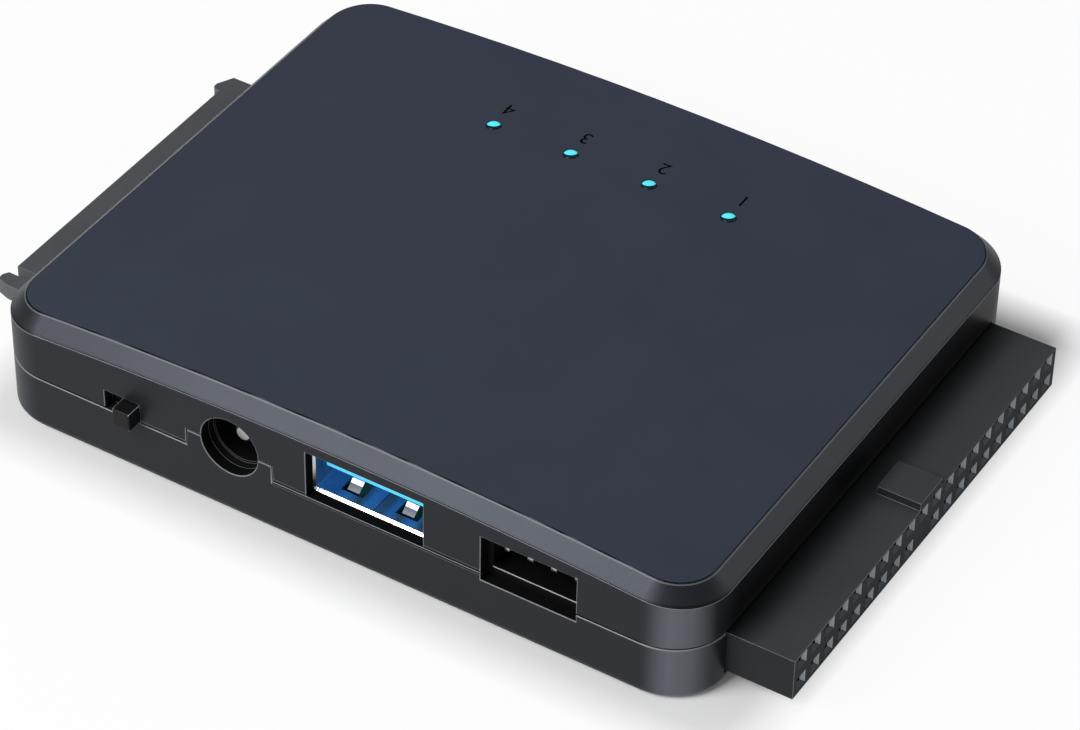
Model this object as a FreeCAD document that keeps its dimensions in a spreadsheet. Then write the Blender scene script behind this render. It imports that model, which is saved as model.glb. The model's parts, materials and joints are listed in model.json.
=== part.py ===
import FreeCAD, Part
import math
import os
import re
import Sketcher

# A bench adapter box that joins bare hard drives to a computer: two plastic shells round one circuit
# board, with a wide drive socket on three sides and four small sockets or controls on the front.
# X runs along the case, Y from the front to the back and Z up. The origin is the middle of the case's
# underside. Lengths are in millimetres.

SIZES = {
    # The case and its two shells
    "case_length": 78.0,
    "case_width": 62.0,
    "corner_radius": 5.8,
    "lower_height": 6.2,
    "upper_height": 8.15,
    "crown_radius": 450.0,
    "edge_chamfer": 1.6,
    "inner_chamfer": 1.0,
    "bottom_round": 1.0,
    "edge_round": 0.2,
    "wall": 1.2,
    "floor_thick": 1.2,
    "roof_thick": 1.4,
    "seam_gap": 0.12,
    "lip_height": 0.8,
    "lip_thick": 0.6,
    "lip_clearance": 0.05,
    "fit_gap": 0.15,
    "face_gap": 0.05,
    # Screws that hold the shells together through the board
    "screw_x": 33.0,
    "screw_y": 26.4,
    "screw_radius": 1.0,
    "screw_length": 9.0,
    "head_radius": 1.8,
    "head_height": 1.3,
    "head_recess": 0.4,
    "head_clearance": 0.15,
    "drive_width": 0.5,
    "drive_length": 2.2,
    "drive_depth": 0.7,
    "lower_boss_radius": 2.7,
    "upper_boss_radius": 2.2,
    # The circuit board
    "board_lift": 2.0,
    "board_thick": 1.6,
    "board_gap": 0.3,
    "board_hole_gap": 0.15,
    "leg_below": 0.8,
    # Sheet metal and contact leaf
    "sheet_metal": 0.3,
    "leaf": 0.25,
    # 40-way socket for 3.5 inch drives, on the right
    "ide40_pitch": 2.54,
    "ide40_columns": 20,
    "ide40_blank": 10,
    "ide40_length": 51.2,
    "ide40_height": 4.65,
    "ide40_reach": 6.9,
    "ide40_depth": 9.3,
    "ide40_hole": 0.9,
    "ide40_mouth": 1.55,
    "ide40_mouth_depth": 0.4,
    "ide40_key_length": 4.55,
    "ide40_key_width": 4.2,
    "ide40_key_height": 0.85,
    "ide40_tail": 1.5,
    "ide40_fork": 0.8,
    "ide40_leaf_width": 0.6,
    # 44-way socket for 2.5 inch drives, on the back
    "ide44_pitch": 2.0,
    "ide44_columns": 22,
    "ide44_blank": 10,
    "ide44_length": 44.8,
    "ide44_height": 4.2,
    "ide44_reach": 5.8,
    "ide44_depth": 8.3,
    "ide44_hole": 0.8,
    "ide44_mouth": 1.3,
    "ide44_mouth_depth": 0.5,
    "ide44_tail": 1.5,
    "ide44_fork": 0.6,
    "ide44_leaf_width": 0.5,
    "socket_back_wall": 0.8,
    "fork_root": 1.6,
    "fork_reach": 6.2,
    # Serial drive socket, on the left
    "sata_centre": -1.48,
    "sata_length": 34.15,
    "sata_height": 4.8,
    "sata_reach": 6.05,
    "sata_depth": 8.4,
    "sata_pitch": 1.27,
    "sata_data_ways": 7,
    "sata_power_ways": 15,
    "sata_slot_height": 1.7,
    "sata_slot_depth": 5.6,
    "sata_slot_end": 0.85,
    "sata_web": 2.1,
    "sata_key_width": 1.5,
    "sata_key_drop": 1.1,
    "sata_contact_width": 0.7,
    "sata_tail": 1.5,
    "sata_tip_rake": 0.4,
    "sata_arm_width": 1.7,
    "sata_far_arm_width": 2.6,
    "sata_arm_gap": 1.15,
    "sata_arm_height": 1.8,
    "sata_arm_beyond": 0.5,
    "sata_arm_free": 5.5,
    # Computer port, front
    "usb_centre": 3.83,
    "usb_window_width": 12.8,
    "usb_window_height": 5.4,
    "usb_width": 13.1,
    "usb_height": 5.7,
    "usb_length": 14.0,
    "usb_corner": 0.6,
    "usb_sill": 0.1,
    "usb_tongue_width": 10.9,
    "usb_tongue_thick": 1.84,
    "usb_tongue_set_back": 0.85,
    "usb_tongue_above": 2.9,
    "usb_block": 2.5,
    "usb_back_plate": 1.5,
    "usb_spring_spacing": 6.0,
    "usb_spring_width": 1.3,
    "usb_spring_slot": 2.4,
    "usb_spring_length": 5.0,
    "usb_spring_set_back": 1.2,
    "usb_spring_rise": 0.75,
    "usb_seam": 0.08,
    "usb_leg_width": 1.8,
    "usb_contact_thick": 0.15,
    "usb_wide_contact": 1.0,
    "usb_narrow_contact": 0.6,
    "usb_inner_pitch": 2.0,
    "usb_outer_pitch": 7.0,
    # Direct current inlet, front
    "inlet_centre": -11.1,
    "inlet_above_seam": 1.95,
    "inlet_hole_radius": 3.2,
    "inlet_bore_radius": 2.95,
    "inlet_mouth_depth": 0.8,
    "inlet_bore_depth": 9.0,
    "inlet_width": 9.0,
    "inlet_top_wall": 0.45,
    "inlet_length": 11.0,
    "inlet_pin_radius": 1.0,
    "inlet_pin_set_back": 1.0,
    "inlet_pin_nose": 0.3,
    "inlet_pin_root": 0.8,
    "inlet_barrel_radius": 2.75,
    "inlet_spring_height": 2.3,
    "inlet_tab_width": 2.0,
    "tab_left": -15.9,
    "tab_right": -6.4,
    "tab_height": 1.8,
    # Slide switch, front
    "switch_centre": -23.33,
    "switch_above_seam": 1.1,
    "switch_travel": 2.0,
    "switch_window_height": 2.25,
    "knob_width": 1.9,
    "knob_height": 2.0,
    "knob_beyond": 1.6,
    "knob_gap": 0.08,
    "knob_round": 0.15,
    "switch_width": 8.6,
    "switch_top": 4.7,
    "switch_depth": 3.7,
    "switch_block": 1.0,
    "switch_base_thick": 0.5,
    "carrier_depth": 1.6,
    "carrier_height": 3.0,
    "wiper_width": 3.2,
    "wiper_thick": 0.35,
    "terminal_pitch": 2.5,
    "terminal_width": 1.2,
    "terminal_leg": 0.6,
    "switch_leg_width": 1.0,
    # Drive power outlet, front
    "outlet_centre": 21.45,
    "outlet_window_width": 10.1,
    "outlet_window_height": 5.25,
    "outlet_below_seam": 0.8,
    "outlet_width": 11.4,
    "outlet_height": 6.4,
    "outlet_length": 9.0,
    "outlet_cavity_width": 8.9,
    "outlet_cavity_height": 3.8,
    "outlet_cavity_depth": 7.4,
    "outlet_lower_wall": 1.6,
    "outlet_pin": 0.64,
    "outlet_pins": 4,
    "outlet_pin_pitch": 2.5,
    "outlet_pin_set_back": 1.1,
    "outlet_pin_tail": 1.2,
    # Status lights
    "light_first": -12.7,
    "light_pitch": 8.93,
    "light_count": 4,
    "light_row": 17.1,
    "light_hole_radius": 0.84,
    "light_pipe_radius": 0.72,
    "light_proud": 0.12,
    "light_bar_width": 2.4,
    "light_bar_thick": 1.2,
    "light_bar_drop": 0.45,
    "light_bar_end": 2.0,
    "lamp_length": 2.0,
    "lamp_width": 1.25,
    "lamp_height": 0.8,
    "lamp_gap": 0.3,
    # Parts on the board
    "bridge_x": 8.0,
    "bridge_y": 2.0,
    "bridge_side": 12.0,
    "bridge_leads": 16,
    "bridge_lead_pitch": 0.65,
    "port_chip_x": -16.0,
    "port_chip_y": 3.0,
    "port_chip_side": 9.0,
    "port_chip_leads": 12,
    "port_chip_pitch": 0.65,
    "chip_height": 1.4,
    "chip_stand_off": 0.1,
    "chip_bevel": 0.15,
    "lead_width": 0.25,
    "lead_reach": 1.0,
    "lead_thick": 0.15,
    "memory_x": 24.0,
    "memory_y": -6.0,
    "memory_length": 5.0,
    "memory_width": 4.0,
    "memory_leads": 4,
    "memory_pitch": 1.27,
    "crystal_x": -5.0,
    "crystal_y": -6.5,
    "crystal_length": 11.0,
    "crystal_width": 4.6,
    "crystal_height": 3.6,
    "crystal_rim": 0.5,
    "coil_x": -20.0,
    "coil_y": -11.0,
    "coil_side": 6.8,
    "coil_height": 4.0,
    "coil_corner": 1.2,
    "coil_core_radius": 2.4,
    "coil_groove": 0.4,
    "regulator_x": -30.0,
    "regulator_y": -13.5,
    "regulator_length": 6.5,
    "regulator_width": 3.5,
    "regulator_height": 1.7,
    "regulator_tab": 3.0,
    "regulator_pitch": 2.3,
    "can_x": 24.5,
    "can_y": 6.0,
    "can_spacing": 8.5,
    "can_radius": 3.15,
    "can_base": 6.6,
    "can_base_height": 1.0,
    "can_height": 5.8,
    "can_groove": 0.25,
    "can_corner": 0.8,
    "resistor_x": -6.0,
    "resistor_y": 10.5,
    "resistor_pitch": 2.2,
    "resistor_count": 10,
    "resistor_length": 1.6,
    "resistor_width": 0.8,
    "resistor_height": 0.5,
    "resistor_cap": 0.35,
}

# Places and sizes that follow from the driving ones
CROWN_TOP = "(lower_height + upper_height)"
CROWN_CENTRE = f"({CROWN_TOP} - crown_radius)"
BOARD_BOTTOM = "(floor_thick + board_lift)"
BOARD_TOP = "(floor_thick + board_lift + board_thick)"
BOARD_MIDDLE = "(floor_thick + board_lift + board_thick / 2)"
LEG_END = f"({BOARD_BOTTOM} - leg_below)"
FRONT = "(-case_width / 2)"
FRONT_INSIDE = "(-case_width / 2 + wall)"
PORT_FACE = "(-case_width / 2 + wall + face_gap)"
IDE40_OUTER = "(case_length / 2 + ide40_reach)"
IDE40_REAR = "(case_length / 2 + ide40_reach - ide40_depth)"
IDE40_BOTTOM = "(lower_height - ide40_height)"
IDE44_OUTER = "(case_width / 2 + ide44_reach)"
IDE44_REAR = "(case_width / 2 + ide44_reach - ide44_depth)"
IDE44_BOTTOM = f"({BOARD_MIDDLE} - ide44_height / 2)"
SATA_OUTER = "(-case_length / 2 - sata_reach)"
SATA_REAR = "(-case_length / 2 - sata_reach + sata_depth)"
SATA_BOTTOM = "(lower_height - sata_height)"
SATA_NEAR = "(sata_centre - sata_length / 2)"
SATA_FAR = "(sata_centre + sata_length / 2)"
SATA_ARM_NEAR = f"({SATA_NEAR} - sata_arm_gap - sata_arm_width)"
SATA_ARM_FAR = f"({SATA_FAR} + sata_far_arm_width)"
USB_BOTTOM = "(lower_height - usb_sill)"
USB_REAR = f"({PORT_FACE} + usb_length)"
INLET_HEIGHT = "(lower_height + inlet_above_seam)"
INLET_REAR = f"({PORT_FACE} + inlet_length)"
SWITCH_HEIGHT = "(lower_height + switch_above_seam)"
SWITCH_REAR = f"({PORT_FACE} + switch_depth)"
KNOB_CENTRE = "(switch_centre + switch_travel / 2)"
OUTLET_BOTTOM = "(lower_height - outlet_below_seam)"
OUTLET_REAR = f"({PORT_FACE} + outlet_length)"
OUTLET_PIN_HEIGHT = f"({OUTLET_BOTTOM} + outlet_window_height / 2)"

document = FreeCAD.newDocument("DriveAdapter")
sheet = document.addObject("Spreadsheet::Sheet", "Sizes")
for line, (alias, size) in enumerate(SIZES.items(), 1):
    sheet.set(f"A{line}", alias)
    sheet.set(f"B{line}", str(size))
    sheet.setAlias(f"B{line}", alias)
document.recompute()


def formula(words):
    """The expression for words, in which every name of a size points at its cell."""
    return re.sub(r"[a-z]\w*", lambda name: "Sizes." + name[0] if name[0] in SIZES else name[0], words)


def bind(thing, target, words):
    """Ties a property, or a part of one, to a formula on the driving sizes."""
    thing.setExpression(target, formula(words))


def move(thing, x="0", y="0", z="0"):
    """Ties where a piece stands."""
    bind(thing, "Placement.Base.x", x)
    bind(thing, "Placement.Base.y", y)
    bind(thing, "Placement.Base.z", z)
    return thing


def label(thing, name):
    """Gives a finished sub-part the name of its file."""
    thing.Label = name
    return thing


# Part primitives and booleans

def box(name, x, y, z):
    """A block between pairs of planes."""
    block = document.addObject("Part::Box", name)
    for side, (low, high) in (("Length", x), ("Width", y), ("Height", z)):
        bind(block, side, f"({high}) - ({low})")
    return move(block, x[0], y[0], z[0])


def rod(name, radius, length, x, y, z, along="Z"):
    """A cylinder whose first end is centred on a point."""
    turns = {"Z": FreeCAD.Rotation(), "Y": FreeCAD.Rotation(FreeCAD.Vector(1, 0, 0), -90)}
    cylinder = document.addObject("Part::Cylinder", name)
    cylinder.Placement = FreeCAD.Placement(FreeCAD.Vector(), turns[along])
    bind(cylinder, "Radius", radius)
    bind(cylinder, "Height", length)
    return move(cylinder, x, y, z)


def join(name, pieces):
    """One solid of several that touch or overlap."""
    whole = document.addObject("Part::MultiFuse", name)
    whole.Shapes = pieces
    whole.Refine = True
    return whole


def cut(name, base, tools):
    """The base without the space that the tools fill."""
    result = document.addObject("Part::Cut", name)
    result.Base = base
    result.Tool = tools[0] if len(tools) == 1 else join(f"{name}_tool", tools)
    return result


def group(name, pieces):
    """Separate solids of one kind under one name."""
    bunch = document.addObject("Part::Compound", name)
    bunch.Links = pieces
    return bunch


# PartDesign bodies, sketches and features

def new_body(name):
    return document.addObject("PartDesign::Body", name)


def origin_feature(body, role):
    """One of the body's own base planes or axes."""
    return next(feature for feature in body.Origin.OriginFeatures if feature.Role == role)


def new_sketch(body, name, role, offset):
    """An empty sketch, offset along the normal of a base plane."""
    sketch = body.newObject("Sketcher::SketchObject", name)
    sketch.AttachmentSupport = [(origin_feature(body, role), "")]
    sketch.MapMode = "FlatFace"
    bind(sketch, "AttachmentOffset.Base.z", offset)
    return sketch


def pin_point(sketch, line, end, name, across, up):
    """Ties one end of a line to a place in its sketch."""
    for kind, words in (("DistanceX", across), ("DistanceY", up)):
        row = sketch.addConstraint(Sketcher.Constraint(kind, -1, 1, line, end, 1.0))
        sketch.renameConstraint(row, f"{name}_{kind}")
        bind(sketch, f"Constraints.{name}_{kind}", words)


def outline(body, name, role, offset, corners):
    """A closed outline of straight lines through corners that are pairs of formulas."""
    sketch = new_sketch(body, name, role, offset)
    count = len(corners)
    spots = [
        FreeCAD.Vector(math.cos(2 * math.pi * step / count), math.sin(2 * math.pi * step / count), 0)
        for step in range(count)
    ]
    for line in range(count):
        sketch.addGeometry(Part.LineSegment(spots[line], spots[(line + 1) % count]))
    for line in range(count):
        sketch.addConstraint(Sketcher.Constraint("Coincident", line, 2, (line + 1) % count, 1))
    for line, (across, up) in enumerate(corners):
        pin_point(sketch, line, 1, f"corner{line}", across, up)
    return sketch


def rectangle(body, name, role, offset, across, up):
    """A closed rectangle between two pairs of lines."""
    corners = [(across[0], up[0]), (across[1], up[0]), (across[1], up[1]), (across[0], up[1])]
    return outline(body, name, role, offset, corners)


def pad(body, name, sketch, length, both_ways=False, backwards=False):
    """Adds a sketch's outline, drawn out by a length."""
    feature = body.newObject("PartDesign::Pad", name)
    feature.Profile = sketch
    feature.SideType = "Symmetric" if both_ways else "One side"
    feature.Reversed = backwards
    bind(feature, "Length", length)
    return feature


def pocket(body, name, sketch, depth, backwards=False, taper=None):
    """Takes a sketch's outline away, down to a depth, with sides that may lean inwards."""
    feature = body.newObject("PartDesign::Pocket", name)
    feature.Profile = sketch
    feature.Reversed = backwards
    bind(feature, "Length", depth)
    if taper:
        bind(feature, "TaperAngle", taper)
    return feature


def row(body, name, features, role, pitch, count):
    """Repeats features at a pitch along one of the body's axes."""
    pattern = body.newObject("PartDesign::LinearPattern", name)
    pattern.Originals = features
    pattern.Direction = (origin_feature(body, role), [""])
    bind(pattern, "Length", f"({pitch}) * (({count}) - 1)")
    bind(pattern, "Occurrences", count)
    body.Tip = pattern
    return pattern


def dress(body, kind, name, base, edges, size):
    """Rounds or bevels the named edges of a feature."""
    feature = body.newObject(f"PartDesign::{kind}", name)
    feature.Base = (base, edges)
    bind(feature, "Radius" if kind == "Fillet" else "Size", size)
    body.Tip = feature
    document.recompute()
    return feature


def edges_where(shape, wanted):
    """The names of a shape's edges that pass a test."""
    return [f"Edge{place}" for place, edge in enumerate(shape.Edges, 1) if wanted(edge)]


def is_upright(edge):
    extent = edge.BoundBox
    return extent.XLength < 1e-6 and extent.YLength < 1e-6


def is_level_at(edge, height):
    extent = edge.BoundBox
    return abs(extent.ZMin - height) < 1e-6 and abs(extent.ZMax - height) < 1e-6


def is_wall(face):
    """Whether a face stands upright all over."""
    low_u, high_u, low_v, high_v = face.ParameterRange
    normal = face.normalAt((low_u + high_u) / 2, (low_v + high_v) / 2)
    return abs(normal.z) < 1e-6


def on_faces(faces):
    """A test for the edges that bound any of the faces."""
    bounds = [edge for face in faces for edge in face.Edges]
    return lambda edge: any(edge.isSame(bound) for bound in bounds)


# The two shells

def crowned_block(name, inset, bottom, drop, chamfer):
    """The case's outline, in from its walls by inset and down from its crowned top by drop."""
    body = new_body(name)
    profile = new_sketch(body, f"{name}_profile", "XZ_Plane", "0")
    half = SIZES["case_length"] / 2
    spread = math.asin(half / SIZES["crown_radius"])
    low_left = FreeCAD.Vector(-half, 0, 0)
    low_right = FreeCAD.Vector(half, 0, 0)
    crown = FreeCAD.Vector(0, SIZES["lower_height"] + SIZES["upper_height"] - SIZES["crown_radius"], 0)
    circle = Part.Circle(crown, FreeCAD.Vector(0, 0, 1), SIZES["crown_radius"])
    arc = Part.ArcOfCircle(circle, math.pi / 2 - spread, math.pi / 2 + spread)
    profile.addGeometry(Part.LineSegment(low_left, low_right))
    profile.addGeometry(Part.LineSegment(low_right, arc.StartPoint))
    profile.addGeometry(arc)
    profile.addGeometry(Part.LineSegment(arc.EndPoint, low_left))
    profile.addConstraint(Sketcher.Constraint("Coincident", 0, 2, 1, 1))
    profile.addConstraint(Sketcher.Constraint("Coincident", 1, 2, 2, 1))
    profile.addConstraint(Sketcher.Constraint("Coincident", 2, 2, 3, 1))
    profile.addConstraint(Sketcher.Constraint("Coincident", 3, 2, 0, 1))
    profile.addConstraint(Sketcher.Constraint("Vertical", 1))
    profile.addConstraint(Sketcher.Constraint("Vertical", 3))
    pin_point(profile, 0, 1, "low_left", f"-case_length / 2 + {inset}", bottom)
    pin_point(profile, 0, 2, "low_right", f"case_length / 2 - {inset}", bottom)
    pin_point(profile, 2, 3, "crown", "0", CROWN_CENTRE)
    radius = profile.addConstraint(Sketcher.Constraint("Radius", 2, SIZES["crown_radius"]))
    profile.renameConstraint(radius, "crown_radius")
    bind(profile, "Constraints.crown_radius", f"crown_radius - {drop}")
    block = pad(body, f"{name}_block", profile, f"case_width - 2 * ({inset})", both_ways=True)
    document.recompute()
    corners = edges_where(block.Shape, is_upright)
    rounded = dress(body, "Fillet", f"{name}_corners", block, corners, f"corner_radius - {inset}")
    top = max(rounded.Shape.Faces, key=lambda face: face.CenterOfMass.z)
    rim = edges_where(rounded.Shape, on_faces([top]))
    dress(body, "Chamfer", f"{name}_bevel", rounded, rim, chamfer)
    return body


def round_bevel(body):
    """Softens both edges of the bevel round the top, and the edge along the seam."""
    shape = body.Tip.Shape
    top = max(shape.Faces, key=lambda face: face.CenterOfMass.z)
    walls = [face for face in shape.Faces if is_wall(face)]
    around_top = on_faces([top])
    around_walls = on_faces(walls)
    edges = edges_where(shape, lambda edge: around_top(edge) or (around_walls(edge) and not is_upright(edge)))
    dress(body, "Fillet", f"{body.Name}_soft_edges", body.Tip, edges, "edge_round")
    return body


def tray_block(name, inset, bottom, top, corner):
    """The case's outline in plan, in from its walls by inset, between two heights."""
    body = new_body(name)
    across = (f"-case_length / 2 + {inset}", f"case_length / 2 - {inset}")
    up = (f"-case_width / 2 + {inset}", f"case_width / 2 - {inset}")
    plan = rectangle(body, f"{name}_plan", "XY_Plane", bottom, across, up)
    block = pad(body, f"{name}_block", plan, f"({top}) - ({bottom})")
    document.recompute()
    corners = edges_where(block.Shape, is_upright)
    dress(body, "Fillet", f"{name}_corners", block, corners, corner)
    return body


def screw_places():
    """The four screws: their names and their places in plan."""
    for side, x in (("left", "-screw_x"), ("right", "screw_x")):
        for end, y in (("front", "-screw_y"), ("back", "screw_y")):
            yield f"{side}_{end}", x, y


def front_window(name, centre, width, bottom, height):
    """The space of a window through the front wall."""
    x = (f"{centre} - ({width}) / 2", f"{centre} + ({width}) / 2")
    y = (f"{FRONT} - wall", f"{FRONT_INSIDE} + face_gap / 2")
    return box(name, x, y, (bottom, f"{bottom} + {height}"))


def switch_window(name):
    width = "knob_width + switch_travel + 2 * knob_gap"
    return front_window(name, "switch_centre", width, "lower_height", "switch_window_height")


def usb_window(name):
    return front_window(name, "usb_centre", "usb_window_width", "lower_height", "usb_window_height")


def outlet_window(name):
    return front_window(name, "outlet_centre", "outlet_window_width", OUTLET_BOTTOM, "outlet_window_height")


def inlet_hole(name):
    """The round hole for the inlet, half in each shell."""
    return rod(name, "inlet_hole_radius", "3 * wall", "inlet_centre", f"{FRONT} - wall", INLET_HEIGHT, "Y")


def make_top_cover():
    """Upper shell: bevelled, crowned, with four screw bosses and the holes for the lights."""
    outer = round_bevel(crowned_block("cover_outside", "0", "lower_height + seam_gap", "0", "edge_chamfer"))
    inner = crowned_block("cover_inside", "wall", "0", "roof_thick", "inner_chamfer")
    hollow = cut("cover_hollow", outer, [inner])
    bosses = []
    for place, x, y in screw_places():
        sag = f"(crown_radius - sqrt(crown_radius * crown_radius - ({x}) * ({x})))"
        height = f"{CROWN_TOP} - roof_thick / 2 - {sag} - {BOARD_TOP}"
        bosses.append(rod(f"cover_boss_{place}", "upper_boss_radius", height, x, y, BOARD_TOP))
    body = join("cover_with_bosses", [hollow] + bosses)
    rebate = tray_block(
        "cover_rebate", "wall - lip_thick - lip_clearance", "0",
        "lower_height + lip_height", "corner_radius - wall + lip_thick + lip_clearance",
    )
    skin = cut("cover_rebate_ring", rebate, [
        tray_block("cover_rebate_core", "wall", "0", "lower_height + lip_height", "corner_radius - wall"),
    ])
    notch = box(
        "cover_tab_notch", ("tab_left - seam_gap", "tab_right + seam_gap"),
        (f"{FRONT} - wall", f"{FRONT_INSIDE} + face_gap"), ("0", "lower_height + tab_height + seam_gap"),
    )
    tools = [skin, notch, switch_window("cover_switch_window"), usb_window("cover_usb_window")]
    tools.append(outlet_window("cover_outlet_window"))
    tools.append(inlet_hole("cover_inlet_hole"))
    for place, x, y in screw_places():
        depth = f"screw_length - ({BOARD_TOP} - head_recess - head_height) + screw_radius"
        tools.append(rod(f"cover_pilot_{place}", "screw_radius", depth, x, y, BOARD_TOP))
    for number in range(SIZES["light_count"]):
        x = f"light_first + {number} * light_pitch"
        name = f"cover_light_hole{number}"
        tools.append(rod(name, "light_hole_radius", CROWN_TOP, x, "light_row", BOARD_TOP))
    return label(cut("cover", body, tools), "top_cover")


def make_bottom_cover():
    """Lower shell: a shallow tray with a lip, a tab under the inlet and four board posts."""
    outer = tray_block("tray_outside", "0", "0", "lower_height", "corner_radius")
    shape = outer.Tip.Shape
    under = edges_where(shape, lambda edge: is_level_at(edge, 0))
    dress(outer, "Fillet", "tray_bottom_round", outer.Tip, under, "bottom_round")
    shape = outer.Tip.Shape
    seam = edges_where(shape, lambda edge: is_level_at(edge, SIZES["lower_height"]))
    dress(outer, "Fillet", "tray_seam_round", outer.Tip, seam, "edge_round")
    above = "lower_height + 2 * lip_height"
    lip = tray_block(
        "tray_lip", "wall - lip_thick", "floor_thick", "lower_height + lip_height",
        "corner_radius - wall + lip_thick",
    )
    inner = tray_block("tray_inside", "wall", "floor_thick", above, "corner_radius - wall")
    tab_rise = ("lower_height / 2", "lower_height + tab_height")
    tab = box("tray_tab", ("tab_left", "tab_right"), (FRONT, FRONT_INSIDE), tab_rise)
    shell = join("tray_shell", [cut("tray_hollow", join("tray_block", [outer, lip]), [inner]), tab])
    post_height = f"{BOARD_BOTTOM} - floor_thick / 2"
    posts = [
        rod(f"tray_post_{place}", "lower_boss_radius", post_height, x, y, "floor_thick / 2")
        for place, x, y in screw_places()
    ]
    body = join("tray_with_posts", [shell] + posts)
    tools = [
        box(
            "tray_ide40_window", ("case_length / 2 - wall - fit_gap", "case_length / 2 + wall"),
            ("-ide40_length / 2 - fit_gap", "ide40_length / 2 + fit_gap"), ("floor_thick", above),
        ),
        box(
            "tray_sata_window", ("-case_length / 2 - wall", "-case_length / 2 + wall + fit_gap"),
            (f"{SATA_ARM_NEAR} - fit_gap", f"{SATA_ARM_FAR} + fit_gap"), ("floor_thick", above),
        ),
        box(
            "tray_ide44_window", ("-ide44_length / 2 - fit_gap", "ide44_length / 2 + fit_gap"),
            ("case_width / 2 - wall - fit_gap", "case_width / 2 + wall"),
            (f"{IDE44_BOTTOM} - fit_gap", above),
        ),
        switch_window("tray_switch_window"),
        usb_window("tray_usb_window"),
        outlet_window("tray_outlet_window"),
        inlet_hole("tray_inlet_hole"),
    ]
    for place, x, y in screw_places():
        recess = "head_recess + head_height"
        tools.append(rod(f"tray_head_hole_{place}", "head_radius + head_clearance", recess, x, y, "0"))
        tools.append(rod(f"tray_shank_hole_{place}", "screw_radius + board_hole_gap", BOARD_TOP, x, y, "0"))
    return label(cut("tray", body, tools), "bottom_cover")


def make_case_screws():
    """Four self-tapping screws, heads down, with crossed driving slots."""
    screws = []
    for place, x, y in screw_places():
        head = rod(f"screw_head_{place}", "head_radius", "head_height", x, y, "head_recess")
        shank = rod(f"screw_shank_{place}", "screw_radius", "screw_length", x, y, "head_recess + head_height")
        point = document.addObject("Part::Cone", f"screw_point_{place}")
        bind(point, "Radius1", "screw_radius")
        bind(point, "Radius2", "screw_radius / 4")
        bind(point, "Height", "screw_radius")
        move(point, x, y, "head_recess + head_height + screw_length")
        depth = ("head_recess - head_height", "head_recess + drive_depth")
        slots = []
        for way, long_x, long_y in (("across", 1, 0), ("along", 0, 1)):
            half_x = "drive_length / 2" if long_x else "drive_width / 2"
            half_y = "drive_length / 2" if long_y else "drive_width / 2"
            span_x = (f"{x} - {half_x}", f"{x} + {half_x}")
            span_y = (f"{y} - {half_y}", f"{y} + {half_y}")
            slots.append(box(f"screw_slot_{way}_{place}", span_x, span_y, depth))
        screws.append(cut(f"screw_{place}", join(f"screw_blank_{place}", [head, shank, point]), slots))
    return label(group("screws", screws), "case_screws")


# Drive sockets with two rows of contacts

def fork(body, name, role, offset, face, depth_sign, row_sign, sizes):
    """One female contact in side view: a soldered tail, a root and two spring leaves.

    face is where the socket's rear lies along the sketch, and depth_sign is the way from there to its
    mouth. row_sign is 1 for the row above the board and -1 for the one below it.
    """
    pitch, spread, tail = sizes
    towards = "+" if depth_sign > 0 else "-"
    away = "-" if depth_sign > 0 else "+"
    up = "+" if row_sign > 0 else "-"
    down = "-" if row_sign > 0 else "+"
    surface = f"{BOARD_MIDDLE} {up} board_thick / 2"
    tail_top = f"{surface} {up} leaf"
    axis = f"{BOARD_MIDDLE} {up} {pitch} / 2"
    outer_low = f"{axis} {down} {spread} / 2"
    inner_low = f"{axis} {down} {spread} / 2 {up} leaf"
    inner_high = f"{axis} {up} {spread} / 2 {down} leaf"
    outer_high = f"{axis} {up} {spread} / 2"
    tail_end = f"{face} {away} {tail}"
    neck = f"{face} {towards} board_gap"
    root = f"{face} {towards} fork_root"
    tip = f"{face} {towards} fork_root {towards} fork_reach"
    corners = [
        (tail_end, surface), (neck, surface), (neck, outer_low), (tip, outer_low), (tip, inner_low),
        (root, inner_low), (root, inner_high), (tip, inner_high), (tip, outer_high),
        (f"{neck} {towards} leaf", outer_high), (f"{neck} {towards} leaf", tail_top), (tail_end, tail_top),
    ]
    return outline(body, name, role, offset, corners)


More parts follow.
